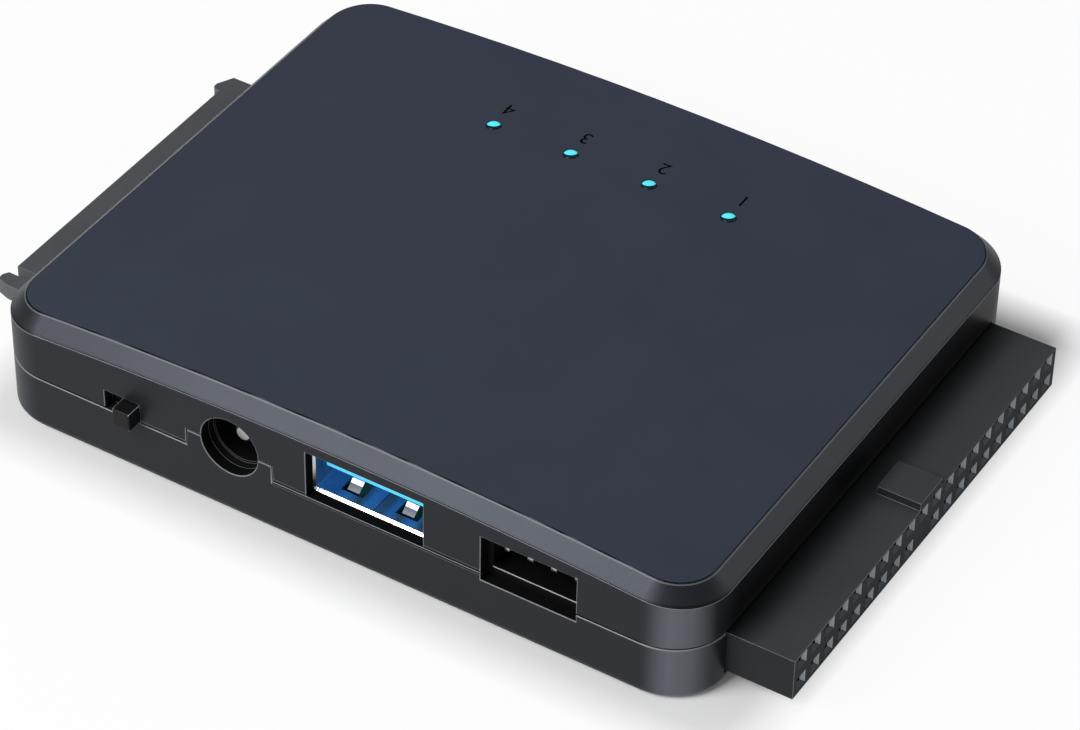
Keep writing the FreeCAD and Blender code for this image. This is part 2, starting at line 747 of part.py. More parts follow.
def make_ide40():
    """The 40-way socket and its contacts. One place in the lower row is left blank as a key."""
    first = "(-ide40_pitch * (ide40_columns - 1) / 2)"
    after_blank = f"({first} + ide40_pitch * ide40_blank)"
    runs = [
        ("upper", 1, first, "ide40_columns"),
        ("lower_near", -1, first, "ide40_blank - 1"),
        ("lower_far", -1, after_blank, "ide40_columns - ide40_blank"),
    ]
    contacts = new_body("ide40_contact_rows")
    for name, side, start, count in runs:
        shape = fork(
            contacts, f"ide40_fork_{name}", "XZ_Plane", f"-{start}", IDE40_REAR, 1, side,
            ("ide40_pitch", "ide40_fork", "ide40_tail"),
        )
        one = pad(contacts, f"ide40_contact_{name}", shape, "ide40_leaf_width", both_ways=True)
        row(contacts, f"ide40_run_{name}", [one], "Y_Axis", "ide40_pitch", count)
    block = new_body("ide40_block")
    across = ("-ide40_length / 2", "ide40_length / 2")
    face = rectangle(block, "ide40_face", "YZ_Plane", IDE40_OUTER, across, (IDE40_BOTTOM, "lower_height"))
    pad(block, "ide40_body", face, "ide40_depth", backwards=True)
    key_across = ("-ide40_key_width / 2", "ide40_key_width / 2")
    key_up = ("lower_height - edge_round", "lower_height + ide40_key_height")
    key = rectangle(block, "ide40_key_face", "YZ_Plane", IDE40_OUTER, key_across, key_up)
    pad(block, "ide40_key", key, "ide40_key_length", backwards=True)
    taper = "-atan((ide40_mouth - ide40_hole) / 2 / ide40_mouth_depth)"
    for name, side, start, count in runs:
        axis = f"{BOARD_MIDDLE} {'+' if side > 0 else '-'} ide40_pitch / 2"
        mouth_name = f"ide40_mouth_{name}"
        mouth_sketch = square(block, mouth_name, "YZ_Plane", IDE40_OUTER, start, axis, "ide40_mouth")
        mouth = pocket(block, f"ide40_lead_in_{name}", mouth_sketch, "ide40_mouth_depth", taper=taper)
        hole_sketch = square(block, f"ide40_hole_{name}", "YZ_Plane", IDE40_OUTER, start, axis, "ide40_hole")
        hole = pocket(block, f"ide40_bore_{name}", hole_sketch, "ide40_depth - socket_back_wall")
        row(block, f"ide40_holes_{name}", [mouth, hole], "Y_Axis", "ide40_pitch", count)
    housing = label(cut("ide40", block, [contacts]), "ide40_socket")
    return housing, label(contacts, "ide40_contacts")


def square(body, name, role, offset, across, up, side):
    """A square outline round a point."""
    span = (f"{across} - {side} / 2", f"{across} + {side} / 2")
    rise = (f"{up} - {side} / 2", f"{up} + {side} / 2")
    return rectangle(body, name, role, offset, span, rise)


def make_ide44():
    """The 44-way socket and its contacts, at the finer pitch of small drives."""
    first = "(-ide44_pitch * (ide44_columns - 1) / 2)"
    after_blank = f"({first} + ide44_pitch * ide44_blank)"
    runs = [
        ("upper", 1, first, "ide44_columns"),
        ("lower_near", -1, first, "ide44_blank - 1"),
        ("lower_far", -1, after_blank, "ide44_columns - ide44_blank"),
    ]
    contacts = new_body("ide44_contact_rows")
    for name, side, start, count in runs:
        shape = fork(
            contacts, f"ide44_fork_{name}", "YZ_Plane", start, IDE44_REAR, 1, side,
            ("ide44_pitch", "ide44_fork", "ide44_tail"),
        )
        one = pad(contacts, f"ide44_contact_{name}", shape, "ide44_leaf_width", both_ways=True)
        row(contacts, f"ide44_run_{name}", [one], "X_Axis", "ide44_pitch", count)
    block = new_body("ide44_block")
    across = ("-ide44_length / 2", "ide44_length / 2")
    up = (IDE44_BOTTOM, f"{IDE44_BOTTOM} + ide44_height")
    face = rectangle(block, "ide44_face", "XZ_Plane", f"-{IDE44_OUTER}", across, up)
    pad(block, "ide44_body", face, "ide44_depth")
    taper = "-atan((ide44_mouth - ide44_hole) / 2 / ide44_mouth_depth)"
    for name, side, start, count in runs:
        axis = f"{BOARD_MIDDLE} {'+' if side > 0 else '-'} ide44_pitch / 2"
        at = f"-{IDE44_OUTER}"
        mouth_sketch = square(block, f"ide44_mouth_{name}", "XZ_Plane", at, start, axis, "ide44_mouth")
        mouth = pocket(block, f"ide44_lead_in_{name}", mouth_sketch, "ide44_mouth_depth", True, taper)
        hole_sketch = square(block, f"ide44_hole_{name}", "XZ_Plane", at, start, axis, "ide44_hole")
        hole = pocket(block, f"ide44_bore_{name}", hole_sketch, "ide44_depth - socket_back_wall", True)
        row(block, f"ide44_holes_{name}", [mouth, hole], "X_Axis", "ide44_pitch", count)
    housing = label(cut("ide44", block, [contacts]), "ide44_socket")
    return housing, label(contacts, "ide44_contacts")


# Serial drive socket

def make_sata():
    """The serial drive socket: two keyed slots in one block, between two guide arms."""
    power_length = "(sata_power_ways * sata_pitch + sata_slot_end)"
    data_length = "(sata_data_ways * sata_pitch + sata_slot_end)"
    used = f"({power_length} + sata_web + {data_length})"
    power_start = f"(sata_centre - {used} / 2)"
    data_start = f"({power_start} + {power_length} + sata_web)"
    slot_bottom = f"({SATA_BOTTOM} + (sata_height - sata_slot_height) / 2)"
    slot_top = f"({slot_bottom} + sata_slot_height)"
    housings = [
        box("sata_block", (SATA_OUTER, SATA_REAR), (SATA_NEAR, SATA_FAR), (SATA_BOTTOM, "lower_height")),
        box(
            "sata_bridge", (f"{SATA_OUTER} + sata_arm_free", SATA_REAR),
            (SATA_ARM_NEAR, SATA_ARM_FAR), (SATA_BOTTOM, "lower_height"),
        ),
    ]
    near_arm = new_body("sata_near_arm")
    tip = f"{SATA_OUTER} - sata_arm_beyond"
    root = f"{SATA_OUTER} + sata_arm_free + sata_arm_beyond"
    inner_side = f"{SATA_NEAR} - sata_arm_gap"
    plan = outline(near_arm, "sata_near_plan", "XY_Plane", "lower_height - sata_arm_height", [
        (root, inner_side), (f"{SATA_OUTER} - sata_arm_beyond / 4", inner_side),
        (tip, f"{inner_side} - sata_arm_width / 3"), (tip, f"{inner_side} - sata_arm_width * 3 / 4"),
        (f"{SATA_OUTER} + sata_arm_width / 2", SATA_ARM_NEAR), (root, SATA_ARM_NEAR),
    ])
    pad(near_arm, "sata_near_pad", plan, "sata_arm_height")
    far_arm = new_body("sata_far_arm")
    plan = outline(far_arm, "sata_far_plan", "XY_Plane", "lower_height - sata_arm_height", [
        (root, SATA_FAR), (f"{SATA_OUTER} - sata_tip_rake", SATA_FAR),
        (f"{tip} - sata_tip_rake", f"{SATA_FAR} + sata_far_arm_width / 8"),
        (f"{tip} - sata_tip_rake", f"{SATA_FAR} + sata_far_arm_width / 3"),
        (SATA_OUTER, SATA_ARM_FAR), (root, SATA_ARM_FAR),
    ])
    pad(far_arm, "sata_far_pad", plan, "sata_arm_height")
    body = join("sata_body", housings + [near_arm, far_arm])
    inside = f"{SATA_OUTER} + sata_slot_depth"
    outside = f"{SATA_OUTER} - sata_arm_beyond"
    tools = []
    for name, start, length in (("power", power_start, power_length), ("data", data_start, data_length)):
        y = (start, f"{start} + {length}")
        tools.append(box(f"sata_{name}_slot", (outside, inside), y, (slot_bottom, slot_top)))
        key = (start, f"{start} + sata_key_width")
        if name == "data":
            key = (f"{start} + {length} - sata_key_width", f"{start} + {length}")
        key_rise = (f"{slot_bottom} - sata_key_drop", slot_top)
        tools.append(box(f"sata_{name}_key", (outside, inside), key, key_rise))
    pieces = {}
    rows = (("power", power_start, "sata_power_ways"), ("data", data_start, "sata_data_ways"))
    for name, start, ways in rows:
        body_of_row = new_body(f"sata_{name}_row")
        first = f"({start} + sata_slot_end / 2 + sata_pitch / 2)"
        tip_x = f"{SATA_OUTER} + sata_slot_depth / 5"
        bend = f"{SATA_REAR} - socket_back_wall"
        corners = [
            (tip_x, f"{slot_top} - leaf"), (f"{bend} + leaf", f"{slot_top} - leaf"),
            (f"{bend} + leaf", BOARD_TOP), (f"{SATA_REAR} + sata_tail", BOARD_TOP),
            (f"{SATA_REAR} + sata_tail", f"{BOARD_TOP} + leaf"), (bend, f"{BOARD_TOP} + leaf"),
            (bend, slot_top), (tip_x, slot_top),
        ]
        side_view = outline(body_of_row, f"sata_{name}_view", "XZ_Plane", f"-{first}", corners)
        one = pad(body_of_row, f"sata_{name}_one", side_view, "sata_contact_width", both_ways=True)
        row(body_of_row, f"sata_{name}_all", [one], "Y_Axis", "sata_pitch", ways)
        pieces[name] = body_of_row
    housing = cut("sata", cut("sata_slotted", body, tools), [pieces["power"], pieces["data"]])
    return (
        label(housing, "sata_socket"), label(pieces["data"], "sata_data_contacts"),
        label(pieces["power"], "sata_power_contacts"),
    )


# Computer port

def round_sided(name, x, y, z, corner):
    """A block that runs along Y, with its four long edges rounded."""
    body = new_body(name)
    face = rectangle(body, f"{name}_face", "XZ_Plane", f"-({y[0]})", x, z)
    block = pad(body, f"{name}_block", face, f"({y[1]}) - ({y[0]})", backwards=True)
    document.recompute()
    depth = block.Shape.BoundBox.YLength
    long_edges = edges_where(block.Shape, lambda edge: abs(edge.BoundBox.YLength - depth) < 1e-6)
    dress(body, "Fillet", f"{name}_corners", block, long_edges, corner)
    return body


def make_usb():
    """The computer port: a sheet-metal shell, a blue moulding with its tongue, and nine contacts."""
    left = "(usb_centre - usb_width / 2)"
    right = "(usb_centre + usb_width / 2)"
    top = f"({USB_BOTTOM} + usb_height)"
    outer = round_sided("usb_outer", (left, right), (PORT_FACE, USB_REAR), (USB_BOTTOM, top), "usb_corner")
    inside_x = (f"{left} + sheet_metal", f"{right} - sheet_metal")
    inside_z = (f"{USB_BOTTOM} + sheet_metal", f"{top} - sheet_metal")
    inside_corner = "usb_corner - sheet_metal"
    bore_y = (f"{PORT_FACE} - wall", f"{USB_REAR} + wall")
    bore = round_sided("usb_bore", inside_x, bore_y, inside_z, inside_corner)
    tools = [bore]
    springs = []
    for name, side in (("left", "-"), ("right", "+")):
        centre = f"usb_centre {side} usb_spring_spacing / 2"
        slot_x = (f"{centre} - usb_spring_slot / 2", f"{centre} + usb_spring_slot / 2")
        slot_front = f"{PORT_FACE} + usb_spring_set_back"
        slot_y = (slot_front, f"{slot_front} + usb_spring_length")
        slot_z = (f"{USB_BOTTOM} - sheet_metal", f"{USB_BOTTOM} + 2 * sheet_metal")
        tools.append(box(f"usb_spring_slot_{name}", slot_x, slot_y, slot_z))
        spring = new_body(f"usb_spring_{name}")
        low = USB_BOTTOM
        high = f"{USB_BOTTOM} + usb_spring_rise"
        root = f"{slot_y[1]} + sheet_metal"
        crest = f"{slot_y[0]} + usb_spring_length / 4"
        tip = f"{slot_y[0]} + sheet_metal"
        view = outline(spring, f"usb_spring_view_{name}", "YZ_Plane", centre, [
            (root, low), (root, f"{low} + sheet_metal"), (slot_y[1], f"{low} + sheet_metal"),
            (crest, f"{high} + sheet_metal"), (tip, f"{low} + sheet_metal"), (tip, low), (crest, high),
            (slot_y[1], low),
        ])
        pad(spring, f"usb_spring_pad_{name}", view, "usb_spring_width", both_ways=True)
        springs.append(spring)
    seam_x = ("usb_centre - usb_seam / 2", "usb_centre + usb_seam / 2")
    seam_z = (f"{USB_BOTTOM} - sheet_metal", f"{USB_BOTTOM} + 2 * sheet_metal")
    tools.append(box("usb_seam_slit", seam_x, bore_y, seam_z))
    legs = []
    leg_starts = (("front", f"{PORT_FACE} + usb_length / 5"), ("back", f"{PORT_FACE} + usb_length * 2 / 3"))
    for side, x in (("left", (left, f"{left} + sheet_metal")), ("right", (f"{right} - sheet_metal", right))):
        for end, start in leg_starts:
            y = (start, f"{start} + usb_leg_width")
            legs.append(box(f"usb_leg_{side}_{end}", x, y, (LEG_END, INLET_HEIGHT)))
    shell = join("usb_metal", [cut("usb_tube", outer, tools)] + springs + legs)
    tongue_low = f"({USB_BOTTOM} + usb_tongue_above)"
    tongue_top = f"({tongue_low} + usb_tongue_thick)"
    plate_end = f"({USB_REAR} + usb_back_plate)"
    moulding = join("usb_moulding", [
        box(
            "usb_tongue", ("usb_centre - usb_tongue_width / 2", "usb_centre + usb_tongue_width / 2"),
            (f"{PORT_FACE} + usb_tongue_set_back", USB_REAR), (tongue_low, tongue_top),
        ),
        round_sided(
            "usb_block", inside_x, (f"{USB_REAR} - usb_block", f"{USB_REAR} + usb_back_plate / 2"),
            inside_z, inside_corner,
        ),
        box("usb_plate", (left, right), (USB_REAR, plate_end), (BOARD_TOP, top)),
        box(
            "usb_foot", (f"{left} + 2 * sheet_metal", f"{right} - 2 * sheet_metal"),
            (f"{PORT_FACE} + usb_spring_set_back + usb_spring_length", f"{USB_REAR} + usb_back_plate / 2"),
            (BOARD_TOP, USB_BOTTOM),
        ),
    ])
    contacts = new_body("usb_contact_set")
    thick = "usb_contact_thick"
    kinds = [
        ("outer", "usb_wide_contact", "usb_outer_pitch", 2, f"{tongue_low} - {thick}", 2, 1),
        ("inner", "usb_wide_contact", "usb_inner_pitch", 2, f"{tongue_low} - {thick}", 2, 1),
        ("fast", "usb_narrow_contact", "usb_inner_pitch", 5, f"{tongue_low} + usb_tongue_thick / 2", 1, 2),
    ]
    for name, width, pitch, count, run, step, line in kinds:
        first = f"(usb_centre - {pitch} * {count - 1} / 2)"
        start = f"{PORT_FACE} + usb_tongue_set_back + {step} * usb_narrow_contact"
        behind = f"{plate_end} + {line} * usb_narrow_contact"
        view = outline(contacts, f"usb_view_{name}", "YZ_Plane", first, [
            (start, run), (behind, run), (behind, LEG_END), (f"{behind} + {thick}", LEG_END),
            (f"{behind} + {thick}", f"{run} + {thick}"), (start, f"{run} + {thick}"),
        ])
        one = pad(contacts, f"usb_one_{name}", view, width, both_ways=True)
        row(contacts, f"usb_row_{name}", [one], "X_Axis", pitch, str(count))
    insulator = cut("usb_insulator_cut", moulding, [contacts])
    return label(shell, "usb_shell"), label(insulator, "usb_insulator"), label(contacts, "usb_contacts")


# Direct current inlet

def make_inlet():
    """The inlet: a moulded block with a round bore, its centre pin and its side spring."""
    span = ("inlet_centre - inlet_width / 2", "inlet_centre + inlet_width / 2")
    top = f"{INLET_HEIGHT} + inlet_bore_radius + inlet_top_wall"
    block = box("inlet_block", span, (PORT_FACE, INLET_REAR), (BOARD_TOP, top))
    mouth = rod(
        "inlet_mouth", "inlet_hole_radius", "inlet_mouth_depth + wall",
        "inlet_centre", f"{PORT_FACE} - wall", INLET_HEIGHT, "Y",
    )
    bore = rod(
        "inlet_bore", "inlet_bore_radius", "inlet_bore_depth", "inlet_centre", PORT_FACE, INLET_HEIGHT, "Y",
    )
    tip = f"{PORT_FACE} + inlet_pin_set_back"
    nose = document.addObject("Part::Cone", "inlet_pin_nose")
    nose.Placement = FreeCAD.Placement(FreeCAD.Vector(), FreeCAD.Rotation(FreeCAD.Vector(1, 0, 0), -90))
    bind(nose, "Radius1", "inlet_pin_radius - inlet_pin_nose")
    bind(nose, "Radius2", "inlet_pin_radius")
    bind(nose, "Height", "inlet_pin_nose")
    move(nose, "inlet_centre", tip, INLET_HEIGHT)
    shaft = rod(
        "inlet_pin_shaft", "inlet_pin_radius", "inlet_bore_depth - inlet_pin_set_back - inlet_pin_nose",
        "inlet_centre", f"{tip} + inlet_pin_nose", INLET_HEIGHT, "Y",
    )
    root = rod(
        "inlet_pin_root", "inlet_pin_root", "inlet_length - inlet_bore_depth + sheet_metal",
        "inlet_centre", f"{PORT_FACE} + inlet_bore_depth", INLET_HEIGHT, "Y",
    )
    tab = box(
        "inlet_pin_tab", ("inlet_centre - inlet_tab_width / 2", "inlet_centre + inlet_tab_width / 2"),
        (INLET_REAR, f"{INLET_REAR} + sheet_metal"), (LEG_END, f"{INLET_HEIGHT} + inlet_pin_root"),
    )
    pin = join("inlet_pin", [nose, shaft, root, tab])
    leaf_x = ("inlet_centre + inlet_barrel_radius", "inlet_centre + inlet_barrel_radius + sheet_metal")
    back = f"{PORT_FACE} + inlet_bore_depth"
    leaf_z = (f"{INLET_HEIGHT} - inlet_spring_height / 2", f"{INLET_HEIGHT} + inlet_spring_height / 2")
    leaf = box("inlet_leaf", leaf_x, (f"{PORT_FACE} + inlet_bore_depth / 3", back), leaf_z)
    leg = box("inlet_leaf_leg", leaf_x, (f"{back} - inlet_tab_width", back), (LEG_END, INLET_HEIGHT))
    spring = join("inlet_spring", [leaf, leg])
    recess = box(
        "inlet_leaf_slot", (leaf_x[0], f"{leaf_x[1]} + sheet_metal"),
        (f"{PORT_FACE} + inlet_bore_depth / 3 - face_gap", f"{back} - inlet_tab_width"),
        (f"{leaf_z[0]} - face_gap", f"{leaf_z[1]} + face_gap"),
    )
    hollow = cut("inlet_hollow", block, [mouth, bore, recess])
    housing = cut("inlet_housing", hollow, [pin, spring])
    return (
        label(housing, "power_inlet"), label(pin, "inlet_centre_pin"), label(spring, "inlet_spring_contact"),
    )


# Slide switch

def make_switch():
    """The slide switch: a metal frame over a plastic base, three terminals, a wiper and the knob."""
    left = "(switch_centre - switch_width / 2)"
    right = "(switch_centre + switch_width / 2)"
    top = f"({BOARD_TOP} + switch_top)"
    inner_left = f"({left} + sheet_metal)"
    inner_right = f"({right} - sheet_metal)"
    outer = box("switch_outer", (left, right), (PORT_FACE, SWITCH_REAR), (BOARD_TOP, top))
    room = box(
        "switch_room", (inner_left, inner_right), (f"{PORT_FACE} + sheet_metal", f"{SWITCH_REAR} + wall"),
        (f"{BOARD_TOP} - wall", f"{top} - sheet_metal"),
    )
    stem = "knob_width + switch_travel + 2 * knob_gap"
    slot = box(
        "switch_slot", (f"switch_centre - ({stem}) / 2", f"switch_centre + ({stem}) / 2"),
        (f"{PORT_FACE} - wall", f"{PORT_FACE} + wall"),
        (f"{SWITCH_HEIGHT} - knob_height / 2 - knob_gap", f"{SWITCH_HEIGHT} + knob_height / 2 + knob_gap"),
    )
    leg_y = (f"{PORT_FACE} + switch_depth / 3", f"{PORT_FACE} + switch_depth / 3 + switch_leg_width")
    frame = join("switch_metal", [
        cut("switch_cover", outer, [room, slot]),
        box("switch_leg_left", (left, inner_left), leg_y, (LEG_END, SWITCH_HEIGHT)),
        box("switch_leg_right", (inner_right, right), leg_y, (LEG_END, SWITCH_HEIGHT)),
    ])
    block_front = f"({SWITCH_REAR} - switch_block)"
    base = join("switch_moulding", [
        box(
            "switch_back", (inner_left, inner_right), (block_front, SWITCH_REAR),
            (BOARD_TOP, f"{top} - sheet_metal"),
        ),
        box(
            "switch_floor", (inner_left, inner_right), (f"{PORT_FACE} + sheet_metal", block_front),
            (BOARD_TOP, f"{BOARD_TOP} + switch_base_thick"),
        ),
    ])
    terminals = []
    for number in (-1, 0, 1):
        centre = f"switch_centre + {number} * terminal_pitch"
        y = (f"{block_front} - leaf", block_front)
        plate = box(
            f"terminal_plate{number + 1}",
            (f"{centre} - terminal_width / 2", f"{centre} + terminal_width / 2"),
            y, (f"{SWITCH_HEIGHT} - carrier_height / 2", f"{SWITCH_HEIGHT} + carrier_height / 2"),
        )
        leg = box(
            f"terminal_leg{number + 1}", (f"{centre} - terminal_leg / 2", f"{centre} + terminal_leg / 2"),
            y, (LEG_END, SWITCH_HEIGHT),
        )
        terminals.append(join(f"terminal{number + 1}", [plate, leg]))
    contacts = group("switch_terminal_set", terminals)
    insulator = cut("switch_base_cut", base, [contacts])
    knob = new_body("switch_knob_body")
    carrier_half = "((switch_width - 2 * sheet_metal - switch_travel) / 2 - face_gap)"
    carrier_front = f"({PORT_FACE} + sheet_metal + face_gap)"
    front = f"({FRONT} - knob_beyond)"
    stem_x = (f"{KNOB_CENTRE} - knob_width / 2", f"{KNOB_CENTRE} + knob_width / 2")
    stem_z = (f"{SWITCH_HEIGHT} - knob_height / 2", f"{SWITCH_HEIGHT} + knob_height / 2")
    stem_sketch = rectangle(knob, "knob_face", "XZ_Plane", f"-{front}", stem_x, stem_z)
    stem_pad = pad(knob, "knob_stem", stem_sketch, f"{carrier_front} - {front}", backwards=True)
    document.recompute()
    nose = stem_pad.Shape.BoundBox.YMin
    lead = edges_where(stem_pad.Shape, lambda edge: edge.BoundBox.YMax < nose + 1e-6)
    dress(knob, "Fillet", "knob_soft_edges", stem_pad, lead, "knob_round")
    carrier_x = (f"{KNOB_CENTRE} - {carrier_half}", f"{KNOB_CENTRE} + {carrier_half}")
    carrier_z = (f"{SWITCH_HEIGHT} - carrier_height / 2", f"{SWITCH_HEIGHT} + carrier_height / 2")
    carrier_sketch = rectangle(knob, "carrier_face", "XZ_Plane", f"-{carrier_front}", carrier_x, carrier_z)
    pad(knob, "knob_carrier", carrier_sketch, "carrier_depth", backwards=True)
    wiper = box(
        "wiper", (f"{KNOB_CENTRE} - wiper_width / 2", f"{KNOB_CENTRE} + wiper_width / 2"),
        (f"{carrier_front} + carrier_depth", f"{carrier_front} + carrier_depth + wiper_thick"),
        (f"{SWITCH_HEIGHT} - knob_height / 2", f"{SWITCH_HEIGHT} + knob_height / 2"),
    )
    return (
        label(frame, "switch_frame"), label(insulator, "switch_base"), label(contacts, "switch_terminals"),
        label(knob, "switch_knob"), label(wiper, "switch_wiper"),
    )


# Drive power outlet

def make_outlet():
    """The power outlet for a drive's lead: a shrouded header with four square pins."""
    left = "(outlet_centre - outlet_width / 2)"
    right = "(outlet_centre + outlet_width / 2)"
    rise = (BOARD_TOP, f"{BOARD_TOP} + outlet_height")
    shroud = box("outlet_shroud", (left, right), (PORT_FACE, OUTLET_REAR), rise)
    floor_of_cavity = f"{BOARD_TOP} + outlet_lower_wall"
    cavity = box(
        "outlet_cavity",
        ("outlet_centre - outlet_cavity_width / 2", "outlet_centre + outlet_cavity_width / 2"),
        (f"{PORT_FACE} - wall", f"{PORT_FACE} + outlet_cavity_depth"),
        (floor_of_cavity, f"{floor_of_cavity} + outlet_cavity_height"),
    )
    pins = new_body("outlet_pin_row")
    low = f"{OUTLET_PIN_HEIGHT} - outlet_pin / 2"
    high = f"{OUTLET_PIN_HEIGHT} + outlet_pin / 2"
    tip = f"{PORT_FACE} + outlet_pin_set_back"
    behind = f"{OUTLET_REAR} + outlet_pin_tail"
    first = "(outlet_centre - outlet_pin_pitch * (outlet_pins - 1) / 2)"
    view = outline(pins, "outlet_pin_view", "YZ_Plane", first, [
        (tip, low), (behind, low), (behind, LEG_END), (f"{behind} + outlet_pin", LEG_END),
        (f"{behind} + outlet_pin", high), (tip, high),
    ])
    one = pad(pins, "outlet_pin_one", view, "outlet_pin", both_ways=True)
    row(pins, "outlet_pin_all", [one], "X_Axis", "outlet_pin_pitch", "outlet_pins")
    housing = cut("outlet_housing", cut("outlet_hollow", shroud, [cavity]), [pins])
    return label(housing, "power_outlet"), label(pins, "outlet_pins")


# Status lights

def make_lights():
    """Four small lamps on the board, and one clear moulding that carries their light to the top."""
    lamps = []
    posts = []
    lamp_top = f"({BOARD_TOP} + lamp_height)"
    last = "(light_first + (light_count - 1) * light_pitch)"
    for number in range(SIZES["light_count"]):
        x = f"(light_first + {number} * light_pitch)"
        span = (f"{x} - lamp_length / 2", f"{x} + lamp_length / 2")
        depth = ("light_row - lamp_width / 2", "light_row + lamp_width / 2")
        lamps.append(box(f"lamp{number}", span, depth, (BOARD_TOP, lamp_top)))
        sag = f"(crown_radius - sqrt(crown_radius * crown_radius - {x} * {x}))"
        bottom = f"{lamp_top} + lamp_gap"
        height = f"{CROWN_TOP} - {sag} + light_proud - light_pipe_radius / 3 - ({bottom})"
        post = rod(f"light_post{number}", "light_pipe_radius", height, x, "light_row", bottom)
        dome = document.addObject("Part::Ellipsoid", f"light_dome{number}")
        bind(dome, "Radius1", "light_pipe_radius / 3")
        bind(dome, "Radius2", "light_pipe_radius")
        bind(dome, "Radius3", "light_pipe_radius")
        move(dome, x, "light_row", f"{bottom} + {height}")
        posts += [post, dome]
    bar_top = f"({CROWN_TOP} - roof_thick - light_bar_drop)"
    bar = box(
        "light_bar", ("light_first - light_bar_end", f"{last} + light_bar_end"),
        ("light_row - light_bar_width / 2", "light_row + light_bar_width / 2"),
        (f"{bar_top} - light_bar_thick", bar_top),
    )
    pipe = join("light_moulding", [bar] + posts)
    return label(pipe, "light_pipe"), label(group("lamps", lamps), "status_lamps")


# Parts on the board

def leaded_chip(name, title, x, y, sides, leads, pitch):
    """A flat black package with bent leads. sides names the ways its leads leave it."""
    body = new_body(name)
    half_x = "memory_width / 2" if sides == 2 else f"{title}_side / 2"
    half_y = "memory_length / 2" if sides == 2 else f"{title}_side / 2"
    span = (f"-{half_x}", half_x)
    plan = rectangle(body, f"{name}_plan", "XY_Plane", "chip_stand_off", span, (f"-{half_y}", half_y))
    package = pad(body, f"{name}_package", plan, "chip_height")
    document.recompute()
    top = package.Shape.BoundBox.ZMax
    rim = edges_where(package.Shape, lambda edge: is_level_at(edge, top))
    dress(body, "Chamfer", f"{name}_bevel", package, rim, "chip_bevel")
    ways = [("XZ_Plane", "Y_Axis", half_x, -1)]
    if sides == 4:
        ways.append(("YZ_Plane", "X_Axis", half_y, 1))
    for role, axis, half, sign in ways:
        for side in ("+", "-"):
            first = f"{sign} * (-({pitch}) * (({leads}) - 1) / 2)"
            wing = outline(body, f"{name}_wing_{role}_{'a' if side == '+' else 'b'}", role, first, [
                (f"0 {side} ({half})", "chip_height / 2"),
                (f"0 {side} ({half} + lead_reach / 2)", "chip_height / 2"),
                (f"0 {side} ({half} + lead_reach / 2 + lead_thick)", "lead_thick"),
                (f"0 {side} ({half} + lead_reach)", "lead_thick"),
                (f"0 {side} ({half} + lead_reach)", "0"),
                (f"0 {side} ({half} + lead_reach / 2)", "0"),
                (f"0 {side} ({half} + lead_reach / 2 - lead_thick)", "chip_height / 2 - lead_thick"),
                (f"0 {side} ({half})", "chip_height / 2 - lead_thick"),
            ])
            one = pad(body, f"{wing.Name}_lead", wing, "lead_width", both_ways=True)
            row(body, f"{wing.Name}_row", [one], axis, pitch, leads)
    return label(move(body, x, y, BOARD_TOP), name)


def stadium(name, length, width, x, y, low, height):
    """A flat block with round ends, lying along X."""
    half = f"({length} - ({width})) / 2"
    radius = f"({width}) / 2"
    return join(name, [
        box(
            f"{name}_middle", (f"{x} - {half}", f"{x} + {half}"), (f"{y} - {radius}", f"{y} + {radius}"),
            (low, f"{low} + {height}"),
        ),
        rod(f"{name}_left", radius, height, f"{x} - {half}", y, low),
        rod(f"{name}_right", radius, height, f"{x} + {half}", y, low),
    ])


def make_crystal():
    """The clock crystal: a metal can with round ends on a wider rim."""
    rim = stadium(
        "crystal_base", "crystal_length", "crystal_width", "crystal_x", "crystal_y", BOARD_TOP, "crystal_rim",
    )
    can = stadium(
        "crystal_can", "crystal_length - 2 * crystal_rim", "crystal_width - 2 * crystal_rim",
        "crystal_x", "crystal_y", BOARD_TOP, "crystal_height",
    )
    return label(join("clock_crystal", [rim, can]), "clock_crystal")


def make_coil():
    """The shielded power coil: a square ferrite block with a ring groove round its core."""
    body = new_body("power_coil_body")
    plan = rectangle(
        body, "coil_plan", "XY_Plane", "0",
        ("-coil_side / 2", "coil_side / 2"), ("-coil_side / 2", "coil_side / 2"),
    )
    block = pad(body, "coil_block", plan, "coil_height")
    document.recompute()
    dress(body, "Chamfer", "coil_corners", block, edges_where(block.Shape, is_upright), "coil_corner")
    move(body, "coil_x", "coil_y", BOARD_TOP)
    low = f"{BOARD_TOP} + coil_height - coil_groove"
    deep = "2 * coil_groove"
    disc = rod("coil_ring_outer", "coil_core_radius + coil_groove", deep, "coil_x", "coil_y", low)
    ring = cut("coil_ring", disc, [rod("coil_ring_core", "coil_core_radius", deep, "coil_x", "coil_y", low)])
    return label(cut("power_coil", body, [ring]), "power_coil")


def make_regulator():
    """The voltage regulator: a moulded block with a wide tab on one side and three legs on the other."""
    half_x = "regulator_width / 2"
    half_y = "regulator_length / 2"
    block = box(
        "regulator_block", (f"regulator_x - {half_x}", f"regulator_x + {half_x}"),
        (f"regulator_y - {half_y}", f"regulator_y + {half_y}"),
        (f"{BOARD_TOP} + chip_stand_off", f"{BOARD_TOP} + regulator_height"),
    )
    tab = box(
        "regulator_tab", (f"regulator_x - {half_x} - lead_reach", "regulator_x"),
        ("regulator_y - regulator_tab / 2", "regulator_y + regulator_tab / 2"),
        (BOARD_TOP, f"{BOARD_TOP} + leaf"),
    )
    legs = []
    for number in (-1, 0, 1):
        y = f"regulator_y + {number} * regulator_pitch"
        legs.append(box(
            f"regulator_leg{number + 1}", ("regulator_x", f"regulator_x + {half_x} + lead_reach"),
            (f"{y} - lead_width", f"{y} + lead_width"), (BOARD_TOP, f"{BOARD_TOP} + leaf"),
        ))
    return label(join("regulator", [block, tab] + legs), "voltage_regulator")


